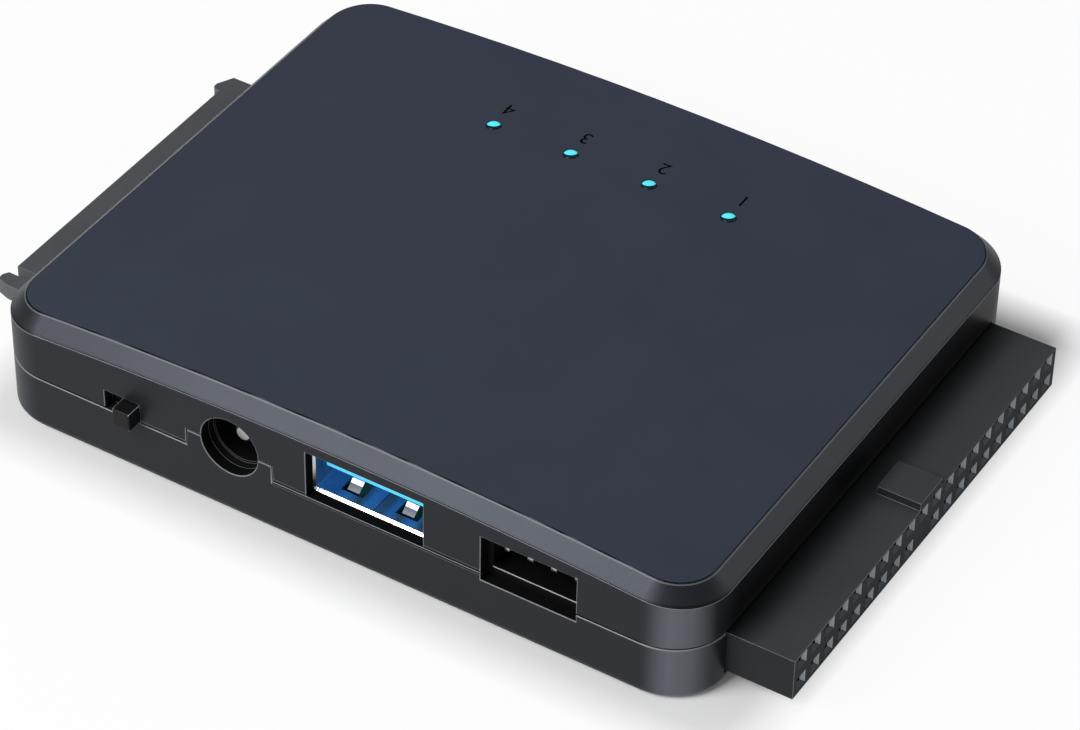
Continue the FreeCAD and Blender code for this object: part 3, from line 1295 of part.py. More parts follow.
def make_capacitors():
    """Two can capacitors on square bases with two cut corners."""
    cans = []
    for number in (0, 1):
        y = f"(can_y + {number} * can_spacing)"
        base = new_body(f"can_base_body{number}")
        half = "can_base / 2"
        plan = outline(base, f"can_base_plan{number}", "XY_Plane", "0", [
            (f"-{half}", f"-{half}"), (f"{half} - can_corner", f"-{half}"), (half, f"-{half} + can_corner"),
            (half, f"{half} - can_corner"), (f"{half} - can_corner", half), (f"-{half}", half),
        ])
        pad(base, f"can_base_pad{number}", plan, "can_base_height")
        move(base, "can_x", y, BOARD_TOP)
        low = f"{BOARD_TOP} + can_base_height"
        can = rod(f"can_wall{number}", "can_radius", "can_height - can_base_height", "can_x", y, low)
        groove = document.addObject("Part::Torus", f"can_groove{number}")
        bind(groove, "Radius1", "can_radius + can_groove / 2")
        bind(groove, "Radius2", "can_groove")
        move(groove, "can_x", y, f"{low} + can_corner")
        cans.append(join(f"can{number}", [base, cut(f"can_body{number}", can, [groove])]))
    return label(group("cans", cans), "filter_capacitors")


def make_resistors():
    """A line of small chip resistors, each with raised solder caps at its ends."""
    pieces = []
    near = "(resistor_y - resistor_length / 2)"
    far = "(resistor_y + resistor_length / 2)"
    core_top = f"{BOARD_TOP} + resistor_height - lead_thick / 3"
    cap_top = f"{BOARD_TOP} + resistor_height"
    for number in range(SIZES["resistor_count"]):
        x = f"(resistor_x + {number} * resistor_pitch)"
        span = (f"{x} - resistor_width / 2", f"{x} + resistor_width / 2")
        pieces.append(join(f"resistor{number}", [
            box(f"resistor_core{number}", span, (near, far), (BOARD_TOP, core_top)),
            box(f"resistor_near{number}", span, (near, f"{near} + resistor_cap"), (BOARD_TOP, cap_top)),
            box(f"resistor_far{number}", span, (f"{far} - resistor_cap", far), (BOARD_TOP, cap_top)),
        ]))
    return label(group("resistors", pieces), "chip_resistors")


def make_board(legs):
    """The circuit board between the three drive sockets, with a hole for each screw and leg."""
    body = new_body("board_body")
    x = (f"{SATA_REAR} + board_gap", f"{IDE40_REAR} - board_gap")
    y = (f"{PORT_FACE} + board_gap", f"{IDE44_REAR} - board_gap")
    plan = rectangle(body, "board_plan", "XY_Plane", BOARD_BOTTOM, x, y)
    slab = pad(body, "board_slab", plan, "board_thick")
    document.recompute()
    corners = edges_where(slab.Shape, is_upright)
    dress(body, "Fillet", "board_corners", slab, corners, "corner_radius - wall - board_gap")
    below = f"{BOARD_BOTTOM} - board_thick / 2"
    tools = [
        rod(f"board_hole_{place}", "screw_radius + board_hole_gap", "2 * board_thick", x_at, y_at, below)
        for place, x_at, y_at in screw_places()
    ]
    drilled = cut("board_drilled", body, tools)
    for number, leg in enumerate(legs):
        drilled = cut(f"board_step{number}", drilled, [leg])
    return label(drilled, "circuit_board")


nodes = [make_top_cover(), make_bottom_cover(), make_case_screws()]
nodes += make_ide40()
nodes += make_ide44()
nodes += make_sata()
usb_shell, usb_insulator, usb_contacts = make_usb()
power_inlet, inlet_pin, inlet_spring = make_inlet()
switch_parts = make_switch()
power_outlet, outlet_pins = make_outlet()
nodes += [usb_shell, usb_insulator, usb_contacts, power_inlet, inlet_pin, inlet_spring]
nodes += switch_parts
nodes += [power_outlet, outlet_pins]
nodes += make_lights()
nodes.append(leaded_chip(
    "bridge_chip", "bridge", "bridge_x", "bridge_y", 4, "bridge_leads", "bridge_lead_pitch",
))
nodes.append(leaded_chip(
    "port_chip", "port_chip", "port_chip_x", "port_chip_y", 4, "port_chip_leads", "port_chip_pitch",
))
nodes.append(leaded_chip("memory_chip", "memory", "memory_x", "memory_y", 2, "memory_leads", "memory_pitch"))
nodes += [make_crystal(), make_coil(), make_regulator(), make_capacitors(), make_resistors()]
through_board = [usb_shell, usb_contacts, inlet_pin, inlet_spring, outlet_pins]
through_board += [switch_parts[0], switch_parts[2]]
nodes.append(make_board(through_board))
document.recompute()

for thing in document.Objects:
    if "Invalid" in thing.State or "Error" in thing.State:
        raise RuntimeError(f"{thing.Name} failed: {thing.State}")
for node in nodes:
    if node.Shape.isNull() or not node.Shape.isValid() or not node.Shape.Solids:
        raise RuntimeError(f"{node.Label} has no valid solid")

os.makedirs("parts", exist_ok=True)
for node in nodes:
    node.Shape.exportStep(f"parts/{node.Label}.step")
    extent = node.Shape.BoundBox
    print(
        f"{node.Label}: {len(node.Shape.Solids)} solids, {node.Shape.Volume:.1f} mm3, "
        f"X {extent.XMin:.2f} to {extent.XMax:.2f}, Y {extent.YMin:.2f} to {extent.YMax:.2f}, "
        f"Z {extent.ZMin:.2f} to {extent.ZMax:.2f}"
    )
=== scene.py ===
import json
import math
import bpy
from mathutils import Matrix, Vector


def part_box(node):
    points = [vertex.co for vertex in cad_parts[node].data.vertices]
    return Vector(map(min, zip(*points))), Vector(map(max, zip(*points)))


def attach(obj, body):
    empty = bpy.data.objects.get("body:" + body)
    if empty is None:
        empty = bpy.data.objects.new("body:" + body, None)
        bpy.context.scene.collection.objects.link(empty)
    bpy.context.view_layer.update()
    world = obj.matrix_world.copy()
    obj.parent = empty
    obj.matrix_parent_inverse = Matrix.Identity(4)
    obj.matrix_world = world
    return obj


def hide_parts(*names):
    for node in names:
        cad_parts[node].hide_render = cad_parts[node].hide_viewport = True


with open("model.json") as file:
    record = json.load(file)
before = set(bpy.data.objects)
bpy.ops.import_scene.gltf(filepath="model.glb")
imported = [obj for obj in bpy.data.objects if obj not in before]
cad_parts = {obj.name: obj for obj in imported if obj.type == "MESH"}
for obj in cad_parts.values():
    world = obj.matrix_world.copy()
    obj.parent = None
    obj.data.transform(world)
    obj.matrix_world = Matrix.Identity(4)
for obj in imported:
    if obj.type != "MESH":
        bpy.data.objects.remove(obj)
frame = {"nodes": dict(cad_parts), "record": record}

bl_info = {
    "name": "Drive adapter box",
    "version": (1, 0, 0),
    "blender": (4, 5, 0),
    "location": "3D View > Sidebar > Adapter",
    "description": "Dresses the packed drive adapter box with its finishes, numbers, lights and studio",
    "category": "Object",
}

MM = 0.001

# Shaping: the angles at which an edge is sharp and at which two faces are one flat face, how near two
# points of a node or of a number are when they count as one, how far a bevel may stand out of its piece,
# and how near a point is to the front when it counts as on it
SHARP = math.radians(40)
FLAT = math.radians(0.1)
SAME_POINT = 0.0005 * MM
SAME_NUMBER_POINT = 0.001 * MM
BEVEL_REACH = 0.01 * MM
AT_FRONT = 0.01 * MM

# Places in lists of finishes: the body and the soft edges of any piece, then what the covers, the 40-way
# socket and the port's shell have beside their bodies
BODY, SOFT_EDGE = 0, 1
# On the covers the edge place holds a painted highlight and the shade place painted shade
COVER_EDGE, COVER_TOP, COVER_SHADE, COVER_BEVEL = 1, 2, 3, 4
# On the 40-way socket the mouth and mouth floor places hold painted light, the end and hole places painted
# shade
SOCKET_MOUTH, SOCKET_END, SOCKET_HOLE, SOCKET_MOUTH_FLOOR = 2, 3, 4, 5
# The springs' crest place holds a painted highlight
SPRING_CREST = 1

# Colours in more than one place: black, the pale painted highlight on the case's edges, the painted
# highlight on its front right corner, and how much of a colour is left in deep shade
NO_LIGHT = (0.0, 0.0, 0.0, 1.0)
EDGE_HIGHLIGHT_GREY = (0.2, 0.205, 0.215, 1.0)
CORNER_HIGHLIGHT_GREY = (0.105, 0.115, 0.13, 1.0)
IN_SHADE = 0.06

# Upward parts of the case's face normals: its top, its bevel and what counts as its bevel, the rounding
# under the bevel, and the rounding of the lower cover's lip
TOP_NORMAL = 0.985
BEVEL_NORMAL = math.sqrt(0.5)
BEVEL_SPREAD = (-0.05, 0.1)
LOW_ROUNDING = (0.02, 0.45)
LIP_ROUNDING = (0.35, 0.9)

# Bounds of the case's hollow, in from its ends and down from its crown, and how deep the bevel goes
# Faces in the hollow, the window reveals among them, take painted shade
HOLLOW_END = 6 * MM
HOLLOW_TOP = 3 * MM
BEVEL_DEEP = 4 * MM
HOLLOW_SKIN = 0.1 * MM

# Lines along the bevel, in millimetres under the crown's own curve: a painted shade line low on the bevel
# and a pale painted highlight line at its top, how strong the highlight is, how far they fade, and where the
# wall starts under them
DARK_LINE = (1.44, 1.5)
HIGHLIGHT_LINE = (0.1, 0.16)
HIGHLIGHT_LINE_SHARE = 0.5
LINE_FADE = 0.03
WALL_TOP = (1.62, 1.72)

# The painted highlight on the front right corner: its direction from the middle, where the highlight starts
# and is full in millimetres along that direction, and the level of the painted highlight on the seam lip
# there
CORNER_TURN = math.radians(36)
CORNER_HIGHLIGHT_SPAN = (44.5, 45.62)
LIP_LEVEL = (6.37, 6.43)

# The shade on the right wall, in millimetres from the case's middle, and how far along the 40-way
# socket's top it reaches
SHADE_X = (38.5, 38.8)
SHADE_Y = (-24.0, 24.0)
SHADE_Y_FADE = 2.5
SHADE_Z = (6.0, 7.5)
SOCKET_SHADE = 3.2

# The wide sockets: how far inside the box of the 40-way one the faces of its holes lie, the outward part of
# the normal of a mouth's slanted faces, its least part to the side or up on the near face and the floor,
# the part of an end's normal that points straight along an axis, and what counts as no part
# Near faces of the mouths are painted pale as a highlight and their floors lighter as lit; the holes and
# ends are painted darker as shade
HOLE_SKIN = 0.3 * MM
SLANT = (0.4, 0.9)
MOUTH_NORMAL = 0.62
END_NORMAL = 0.95
NO_PART = 0.1

# The ground round the object where the floor is painted grey as a shadow and keeps the object's own shadow,
# in millimetres from the case's middle
SHADOW_X = (-39.0, 42.0)
SHADOW_Y = (-31.8, 33.0)
SHADOW_FADE = 5.0

# Status lights: how many, half a lamp's width, the middle of each lens's lit part in millimetres from
# the lens's own middle, the squared radii between which that part ends, and how high a figure is in text
# of size 1
LIGHTS = 4
LAMP_HALF = 1 * MM
# Round its lit part each lens is painted dark as shade
LIT_SHIFT = (-0.19, 0.31)
LIT_END = (0.55, 0.45)
FIGURE_HEIGHT = 0.7

# The computer port, in millimetres: the heights of the springs' painted highlight on their crests above the
# shell's floor, and the tongue's painted glow along the edge behind its front
CREST = (0.42, 0.5)
TONGUE_GLOW = (0.3, 0.05)

# The port's shell: its sheet, the chamfer round its mouth with how deep and how far in the edges for it
# lie, the heights of the springs' front faces above its floor, and how far those may turn from the front
SHELL_SHEET = 0.3 * MM
MOUTH_CHAMFER = 0.22 * MM
MOUTH_DEEP = 0.26 * MM
MOUTH_SKIN = 0.25 * MM
SPRING_FACES = (0.05 * MM, 1.2 * MM)
SPRING_NORMAL = -0.1

# How far an edge of the power outlet turns to the front and up where it takes a painted highlight
OUTLET_NORMAL = 0.3

# The studio: the floor's width and how far it lies under the object, its paper's colour, how white it is
# to the camera and in mirrors, and how much of that white is left out round the object as a painted shadow
FLOOR_WIDTH = 8.0
FLOOR_DROP = 0.00005
PAPER = (0.85, 0.85, 0.85, 1.0)
WHITE_DIRECT = 0.93
WHITE_MIRRORED = 0.3
SHADOW_KEPT = 0.88
ROOM_LIGHT = 0.2

# Lamps: name, place in metres, width in metres and power in watts
LAMPS = (
    ("key_light", (-0.31, -0.61, 0.58), 0.5, 8.2),
    ("side_light", (0.6, 0.56, 0.37), 0.3, 1.1),
    ("low_light", (0.4, -0.8, 0.1), 0.3, 0.8),
)

# Where the photograph was taken from: angles in degrees, place in metres, lens in millimetres
CAMERA_TURN = 31.146
CAMERA_RISE = 40.389
CAMERA_ROLL = 1.138
CAMERA_PLACE = (0.167236, -0.270890, 0.272011)
CAMERA_LENS = 143.566
SENSOR_WIDTH = 36.0


# Settings that a user would change

class AdapterColours(bpy.types.PropertyGroup):
    """Colours of the moulded and lit parts."""

    top: bpy.props.FloatVectorProperty(
        name="Top", description="Grained plastic of the case's top", subtype="COLOR", size=4,
        min=0.0, max=1.0, default=(0.039, 0.046, 0.07, 1.0),
    )
    sides: bpy.props.FloatVectorProperty(
        name="Sides", description="Grained plastic of the case's sides and bevel", subtype="COLOR", size=4,
        min=0.0, max=1.0, default=(0.0105, 0.0115, 0.0145, 1.0),
    )
    # The edge colour is a painted highlight on the case's rounded edges and front rim
    edge: bpy.props.FloatVectorProperty(
        name="Edges", description="Highlighted edges of the case", subtype="COLOR", size=4,
        min=0.0, max=1.0, default=EDGE_HIGHLIGHT_GREY,
    )
    socket: bpy.props.FloatVectorProperty(
        name="Drive sockets", description="Black plastic of the two wide sockets", subtype="COLOR", size=4,
        min=0.0, max=1.0, default=(0.042, 0.047, 0.051, 1.0),
    )
    serial: bpy.props.FloatVectorProperty(
        name="Serial socket", description="Dark plastic of the serial drive socket", subtype="COLOR", size=4,
        min=0.0, max=1.0, default=(0.082, 0.086, 0.094, 1.0),
    )
    port: bpy.props.FloatVectorProperty(
        name="Computer port", description="Blue plastic inside the computer port", subtype="COLOR", size=4,
        min=0.0, max=1.0, default=(0.02, 0.25, 0.75, 1.0),
    )
    light: bpy.props.FloatVectorProperty(
        name="Lights", description="Glow of the status lights", subtype="COLOR", size=4,
        min=0.0, max=1.0, default=(0.08, 0.68, 0.76, 1.0),
    )


class AdapterSizes(bpy.types.PropertyGroup):
    """Sizes of what is added to the frame."""

    softness: bpy.props.FloatProperty(
        name="Edge softness", description="Width of the small bevel on moulded edges", unit="LENGTH",
        precision=6, min=0.0, default=0.08 * MM,
    )
    grain: bpy.props.FloatProperty(
        name="Grain", description="Size of the case's fine grain", unit="LENGTH",
        precision=6, min=0.01 * MM, default=0.16 * MM,
    )
    crown_radius: bpy.props.FloatProperty(
        name="Crown radius", description="Radius of the top cover's crown", unit="LENGTH",
        precision=4, default=450 * MM,
    )
    number_height: bpy.props.FloatProperty(
        name="Number height", description="Height of the numbers behind the lights", unit="LENGTH",
        precision=5, default=1.7 * MM,
    )
    number_depth: bpy.props.FloatProperty(
        name="Number depth", description="Depth to which the numbers are engraved", unit="LENGTH",
        precision=6, default=0.15 * MM,
    )
    number_behind: bpy.props.FloatProperty(
        name="Number offset", description="Distance of each number behind its light", unit="LENGTH",
        precision=5, default=3.0 * MM,
    )


# Materials

class Value:
    """A node's output that can stand in a sum."""

    def __init__(self, finish, socket):
        self.finish = finish
        self.socket = socket

    def sum(self, operation, one, two):
        return self.finish.node("ShaderNodeMath", {"operation": operation}, {0: one, 1: two})

    def __add__(self, other):
        return self.sum("ADD", self, other)

    def __radd__(self, other):
        return self.sum("ADD", other, self)

    def __sub__(self, other):
        return self.sum("SUBTRACT", self, other)

    def __rsub__(self, other):
        return self.sum("SUBTRACT", other, self)

    def __mul__(self, other):
        return self.sum("MULTIPLY", self, other)


class Finish:
    """A material, with the nodes that vary it over a surface."""

    def __init__(self, name, constants):
        self.material = bpy.data.materials.new(name)
        self.material.use_nodes = True
        self.tree = self.material.node_tree
        self.shader = self.tree.nodes["Principled BSDF"]
        for socket, value in constants.items():
            self.shader.inputs[socket].default_value = value

    def node(self, kind, settings, sockets, output=0):
        made = self.tree.nodes.new(kind)
        for name, setting in settings.items():
            setattr(made, name, setting)
        for name, value in sockets.items():
            self.feed(made.inputs[name], value)
        return Value(self, made.outputs[output])

    def feed(self, socket, value):
        if isinstance(value, Value):
            self.tree.links.new(value.socket, socket)
        else:
            socket.default_value = value

    def surface(self, socket, value):
        self.feed(self.shader.inputs[socket], value)

    def place(self, stretch):
        """The point on the piece, in millimetres, squeezed along each axis by stretch."""
        spot = self.node("ShaderNodeTexCoord", {}, {}, "Object")
        scale = [1 / (MM * part) for part in stretch]
        return self.node("ShaderNodeMapping", {}, {"Vector": spot, "Scale": scale})

    def noise(self, size, detail=2.0, stretch=(1.0, 1.0, 1.0)):
        """Cloudy noise with patches about size millimetres across."""
        sockets = {"Vector": self.place(stretch), "Scale": 1 / size, "Detail": detail}
        return self.node("ShaderNodeTexNoise", {}, sockets)

    def cells(self, size):
        """Distance to the middle of cells about size millimetres across."""
        sockets = {"Vector": self.place((1.0, 1.0, 1.0)), "Scale": 1 / size}
        return self.node("ShaderNodeTexVoronoi", {}, sockets)

    def ramp(self, value, low, high):
        """Value spread so that low gives 0 and high gives 1."""
        sockets = {"Value": value, "From Min": low, "From Max": high}
        return self.node("ShaderNodeMapRange", {}, sockets)

    def blend(self, factor, one, two):
        return self.node("ShaderNodeMix", {"data_type": "RGBA"}, {0: factor, 6: one, 7: two}, 2)

    def along(self, axis):
        """Where a point of the piece lies along one axis, in millimetres."""
        spot = self.node("ShaderNodeTexCoord", {}, {}, "Object")
        return self.node("ShaderNodeSeparateXYZ", {}, {"Vector": spot}, axis) * (1 / MM)

    def band(self, value, low, high, edge):
        """1 for values from low to high, fading to 0 over a width of edge on both sides."""
        return self.ramp(value, low - edge, low) * self.ramp(value, high + edge, high)

    def bump(self, height, depth):
        """Fine relief of the surface, depth millimetres deep."""
        sockets = {"Height": height, "Distance": depth * MM, "Strength": 1.0}
        self.surface("Normal", self.node("ShaderNodeBump", {}, sockets))


def shade(colour, factor):
    """A colour made lighter or darker."""
    return [min(1.0, part * factor) for part in colour[:3]] + [1.0]


def moulded(name, colour, roughness, grain, depth, marks=None, sheen=0.25):
    """Moulded plastic with a fine grain, faint clouds, a few specks of dust and what marks draws on it."""
    tint = (0.8, 0.86, 1.0, 1.0)
    finish = Finish(name, {"IOR": 1.45, "Specular IOR Level": sheen, "Specular Tint": tint})
    fine = finish.noise(grain, detail=3.0)
    clouds = finish.noise(size=9.0, detail=2.0)
    specks = finish.ramp(finish.cells(size=2.7), 0.05, 0.02)
    tone = finish.blend(clouds, shade(colour, 0.9), shade(colour, 1.1))
    tone = finish.blend(specks * finish.ramp(fine, 0.55, 0.7) * 0.25, tone, shade(colour, 3.0))
    if marks:
        tone = marks(finish, tone, colour)
    finish.surface("Base Color", tone)
    finish.surface("Roughness", roughness - 0.06 + fine * 0.08 + clouds * 0.06)
    finish.bump(fine, depth)
    return finish.material


def case_marks(crown, radius):
    """Paints a shade line and a highlight line along the case's bevel, a highlight on its front right corner
    and seam lip, and shade on the wall over the wide socket.
    """

    def draw(finish, tone, colour):
        across = finish.along("X")
        back = finish.along("Y")
        level = finish.along("Z")
        under = crown / MM - level - across * across * (MM / radius / 2)
        wall = finish.ramp(under, *WALL_TOP)
        # Painted shade line low on the bevel
        dark = finish.band(under, *DARK_LINE, LINE_FADE)
        # Painted highlight line along the top of the bevel, at part strength
        light = finish.band(under, *HIGHLIGHT_LINE, LINE_FADE) * HIGHLIGHT_LINE_SHARE
        # Painted highlight: a pale streak down the front right corner, with a lit seam lip there
        corner = across * math.sin(CORNER_TURN) - back * math.cos(CORNER_TURN)
        painted_highlight = finish.ramp(corner, *CORNER_HIGHLIGHT_SPAN) * wall
        beside = finish.ramp(across, *SHADE_X) * finish.band(back, *SHADE_Y, SHADE_Y_FADE)
        shaded = beside * finish.ramp(level, *SHADE_Z)
        lip = finish.band(level, *LIP_LEVEL, LINE_FADE) * painted_highlight
        tone = finish.blend(painted_highlight * painted_highlight, tone, CORNER_HIGHLIGHT_GREY)
        tone = finish.blend(light + lip, tone, EDGE_HIGHLIGHT_GREY)
        return finish.blend(dark + shaded * wall, tone, shade(colour, IN_SHADE))

    return draw


def smooth_plastic(name, colour, roughness, sheen=0.35, shadow=None):
    """Smooth moulded plastic with faint flow marks and scuffs.

    Where shadow gives two places along X, shade is full at the first and ends at the second.
    """
    finish = Finish(name, {"IOR": 1.5, "Specular IOR Level": sheen})
    flow = finish.noise(size=3.0, detail=3.0, stretch=(1.0, 3.0, 1.0))
    scuffs = finish.ramp(finish.noise(size=0.12, detail=2.0, stretch=(1.0, 8.0, 1.0)), 0.62, 0.75)
    tone = finish.blend(flow, shade(colour, 0.85), shade(colour, 1.15))
    if shadow:
        shaded = finish.ramp(finish.along("X"), shadow[1], shadow[0])
        tone = finish.blend(shaded, tone, shade(colour, IN_SHADE))
    finish.surface("Base Color", tone)
    finish.surface("Roughness", roughness + scuffs * 0.12 + flow * 0.05)
    finish.bump(flow * 0.6 + scuffs * 0.2, depth=0.006)
    return finish.material


def plated(name, colour, roughness, lines):
    """Plated sheet metal, drawn along one axis, with faint tarnish."""
    finish = Finish(name, {"Metallic": 1.0})
    drawn = finish.noise(size=0.08, detail=2.0, stretch=lines)
    tarnish = finish.noise(size=1.6, detail=3.0)
    finish.surface("Base Color", finish.blend(tarnish, shade(colour, 0.8), colour))
    finish.surface("Roughness", roughness + drawn * 0.12 + finish.ramp(tarnish, 0.4, 0.8) * 0.08)
    finish.bump(drawn, depth=0.004)
    return finish.material


def port_blue(colour, front):
    """The computer port's blue plastic, with a painted glow all over that is paler along its front edge."""
    finish = Finish("port_blue", {"IOR": 1.5, "Roughness": 0.3, "Emission Strength": 0.4})
    # Painted glow, paler towards the tongue's front edge
    edge = finish.ramp(finish.along("Y"), front / MM + TONGUE_GLOW[0], front / MM + TONGUE_GLOW[1])
    flow = finish.noise(size=3.0, detail=3.0, stretch=(1.0, 3.0, 1.0))
    tone = finish.blend(flow, shade(colour, 0.9), shade(colour, 1.1))
    lit = finish.blend(edge, tone, (0.06, 0.55, 0.85, 1.0))
    finish.surface("Base Color", lit)
    finish.surface("Emission Color", lit)
    finish.bump(flow, depth=0.004)
    return finish.material


def spring_crest(floor):
    """Nickel of the port's springs, with a painted glowing highlight along the crest and painted shade down
    at the floor.
    """
    finish = Finish("spring_nickel", {"Metallic": 0.2, "Roughness": 0.25, "Emission Strength": 0.5})
    raised = finish.ramp(finish.along("Z"), floor / MM + CREST[0], floor / MM + CREST[1])
    glint = finish.blend(finish.noise(size=0.5), (0.7, 0.74, 0.8, 1.0), (0.9, 0.94, 1.0, 1.0))
    # Painted shade low on the springs and a painted glowing highlight on their crests
    tone = finish.blend(raised, (0.004, 0.012, 0.03, 1.0), glint)
    finish.surface("Base Color", tone)
    finish.surface("Emission Color", tone)
    return finish.material


def glowing(name, colour, first, pitch, row):
    """Clear lenses over lights. Each glows in a disc set behind its middle, and is painted dark round it as
    shade.
    """
    finish = Finish(name, {"Roughness": 0.25, "Specular IOR Level": 0.2, "Emission Strength": 0.72})
    depth = finish.noise(size=0.7, detail=2.0)
    spread = {0: finish.along("X") - first / MM, 1: pitch / MM / 2, 2: -pitch / MM / 2}
    across = finish.node("ShaderNodeMath", {"operation": "WRAP"}, spread) - LIT_SHIFT[0]
    back = finish.along("Y") - row / MM - LIT_SHIFT[1]
    lit = finish.ramp(across * across + back * back, *LIT_END)
    # Painted shade on the lens round its lit part
    deep = (0.004, 0.02, 0.024, 1.0)
    finish.surface("Base Color", finish.blend(lit, deep, shade(colour, 0.7)))
    finish.surface("Emission Color", finish.blend(lit, NO_LIGHT, colour))
    finish.bump(depth, depth=0.01)
    return finish.material


def circuit_board(name):
    """Green solder mask over copper tracks, with pads showing through."""
    finish = Finish(name, {"Roughness": 0.35, "Coat Weight": 0.3})
    tracks = finish.ramp(finish.noise(size=1.4, detail=0.0, stretch=(1.0, 4.0, 1.0)), 0.52, 0.55)
    pads = finish.ramp(finish.cells(size=1.9), 0.12, 0.1)
    green = finish.blend(tracks, (0.006, 0.06, 0.03, 1.0), (0.015, 0.13, 0.06, 1.0))
    finish.surface("Base Color", finish.blend(pads, green, (0.7, 0.68, 0.6, 1.0)))
    finish.surface("Metallic", pads * 0.9)
    finish.bump(tracks * 0.5 + pads * 0.5, depth=0.02)
    return finish.material


def wound_core(name):
    """Sintered ferrite, grey and slightly pitted."""
    finish = Finish(name, {"Roughness": 0.6})
    pits = finish.ramp(finish.cells(size=0.5), 0.2, 0.1)
    finish.surface("Base Color", finish.blend(pits, (0.06, 0.06, 0.065, 1.0), (0.03, 0.03, 0.032, 1.0)))
    finish.bump(1 - pits, depth=0.02)
    return finish.material


# Tools for shaping pieces

def only(thing):
    """Leaves just one object selected and active."""
    bpy.ops.object.select_all(action="DESELECT")
    thing.select_set(True)
    bpy.context.view_layer.objects.active = thing


def apply_modifier(thing, kind, **settings):
    only(thing)
    bpy.ops.object.modifier_add(type=kind)
    modifier = thing.modifiers[-1]
    for name, setting in settings.items():
        setattr(modifier, name, setting)
    bpy.ops.object.modifier_apply(modifier=modifier.name)


def joined_copy(node, name):
    """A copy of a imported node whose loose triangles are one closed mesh."""
    only(frame["nodes"][node])
    bpy.ops.object.duplicate()
    piece = bpy.context.view_layer.objects.active
    piece.name = name
    piece.parent = None
    for key in list(piece.keys()):
        del piece[key]
    if piece.data.has_custom_normals:
        bpy.ops.mesh.customdata_custom_splitnormals_clear()
    bpy.ops.object.mode_set(mode="EDIT")
    bpy.ops.mesh.select_all(action="SELECT")
    bpy.ops.mesh.remove_doubles(threshold=SAME_POINT)
    bpy.ops.object.mode_set(mode="OBJECT")
    return piece


def soften(piece, width):
    """Bevels a piece's sharp edges, and gives the bevels the second place in its list of finishes.

    The flat faces are cleared of needless edges first.
    """
    only(piece)
    bpy.ops.object.mode_set(mode="EDIT")
    bpy.ops.mesh.select_all(action="SELECT")
    bpy.ops.mesh.dissolve_limited(angle_limit=FLAT)
    bpy.ops.object.mode_set(mode="OBJECT")
    piece.data.materials.append(None)
    apply_modifier(
        piece, "BEVEL", width=width, segments=2, limit_method="ANGLE", angle_limit=SHARP,
        material=SOFT_EDGE,
    )


def smooth(piece, angle=35):
    """Smooth shading that keeps flat faces flat."""
    only(piece)
    bpy.ops.object.shade_smooth_by_angle(angle=math.radians(angle))
    apply_modifier(piece, "WEIGHTED_NORMAL", keep_sharp=True, weight=100)


def finish_faces(piece, place, wanted):
    """Gives the faces whose normals and middles pass a test the finish at a place in the list."""
    while len(piece.data.materials) <= place:
        piece.data.materials.append(None)
    for face in piece.data.polygons:
        if wanted(face.normal, face.center):
            face.material_index = place


def within(spot, low, high, skin):
    """Whether a point lies inside a box by more than skin."""
    return all(low[axis] + skin < spot[axis] < high[axis] - skin for axis in range(3))


def slants(part):
    """Whether a face with this outward part of its normal is a slanted face of a mouth."""
    return SLANT[0] < part < SLANT[1]


def soften_chosen(piece, wanted, width, segments, place):
    """Bevels the sharp edges whose ends pass a test, with the finish at a place in the list.

    Points that a bevel pushes past the piece's own box go back to within BEVEL_REACH of it.
    """
    only(piece)
    bpy.ops.object.mode_set(mode="EDIT")
    bpy.ops.mesh.select_all(action="SELECT")
    bpy.ops.mesh.dissolve_limited(angle_limit=FLAT)
    bpy.ops.mesh.select_all(action="DESELECT")
    bpy.ops.mesh.edges_select_sharp(sharpness=SHARP)
    bpy.ops.object.mode_set(mode="OBJECT")
    weights = piece.data.attributes.new("bevel_weight_edge", "FLOAT", "EDGE")
    points = piece.data.vertices
    for edge in piece.data.edges:
        if edge.select and all(wanted(points[end].co) for end in edge.vertices):
            weights.data[edge.index].value = 1.0
    low = [min(point.co[axis] for point in points) - BEVEL_REACH for axis in range(3)]
    high = [max(point.co[axis] for point in points) + BEVEL_REACH for axis in range(3)]
    apply_modifier(
        piece, "BEVEL", width=width, segments=segments, limit_method="WEIGHT", material=place,
        use_clamp_overlap=False,
    )
    for point in piece.data.vertices:
        point.co = [min(max(point.co[axis], low[axis]), high[axis]) for axis in range(3)]


def settle(piece, node, materials):
    """Gives a piece its finishes and ties it to the frame."""
    for place, own in enumerate(piece.material_slots):
        own.material = materials[min(place, len(materials) - 1)]
    bodies = frame["record"]["behaviour"]["bodies"]
    body = next(name for name, nodes in bodies.items() if node in nodes)
    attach(piece, body)
    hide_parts(node)


def refined(node, name, materials, width):
    """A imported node's copy with soft edges and smooth shading, in its place."""
    piece = joined_copy(node, name)
    if width:
        soften(piece, width)
    smooth(piece)
    settle(piece, node, materials)


def paint(node, material):
    """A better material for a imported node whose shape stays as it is."""
    for slot in frame["nodes"][node].material_slots:
        slot.material = material


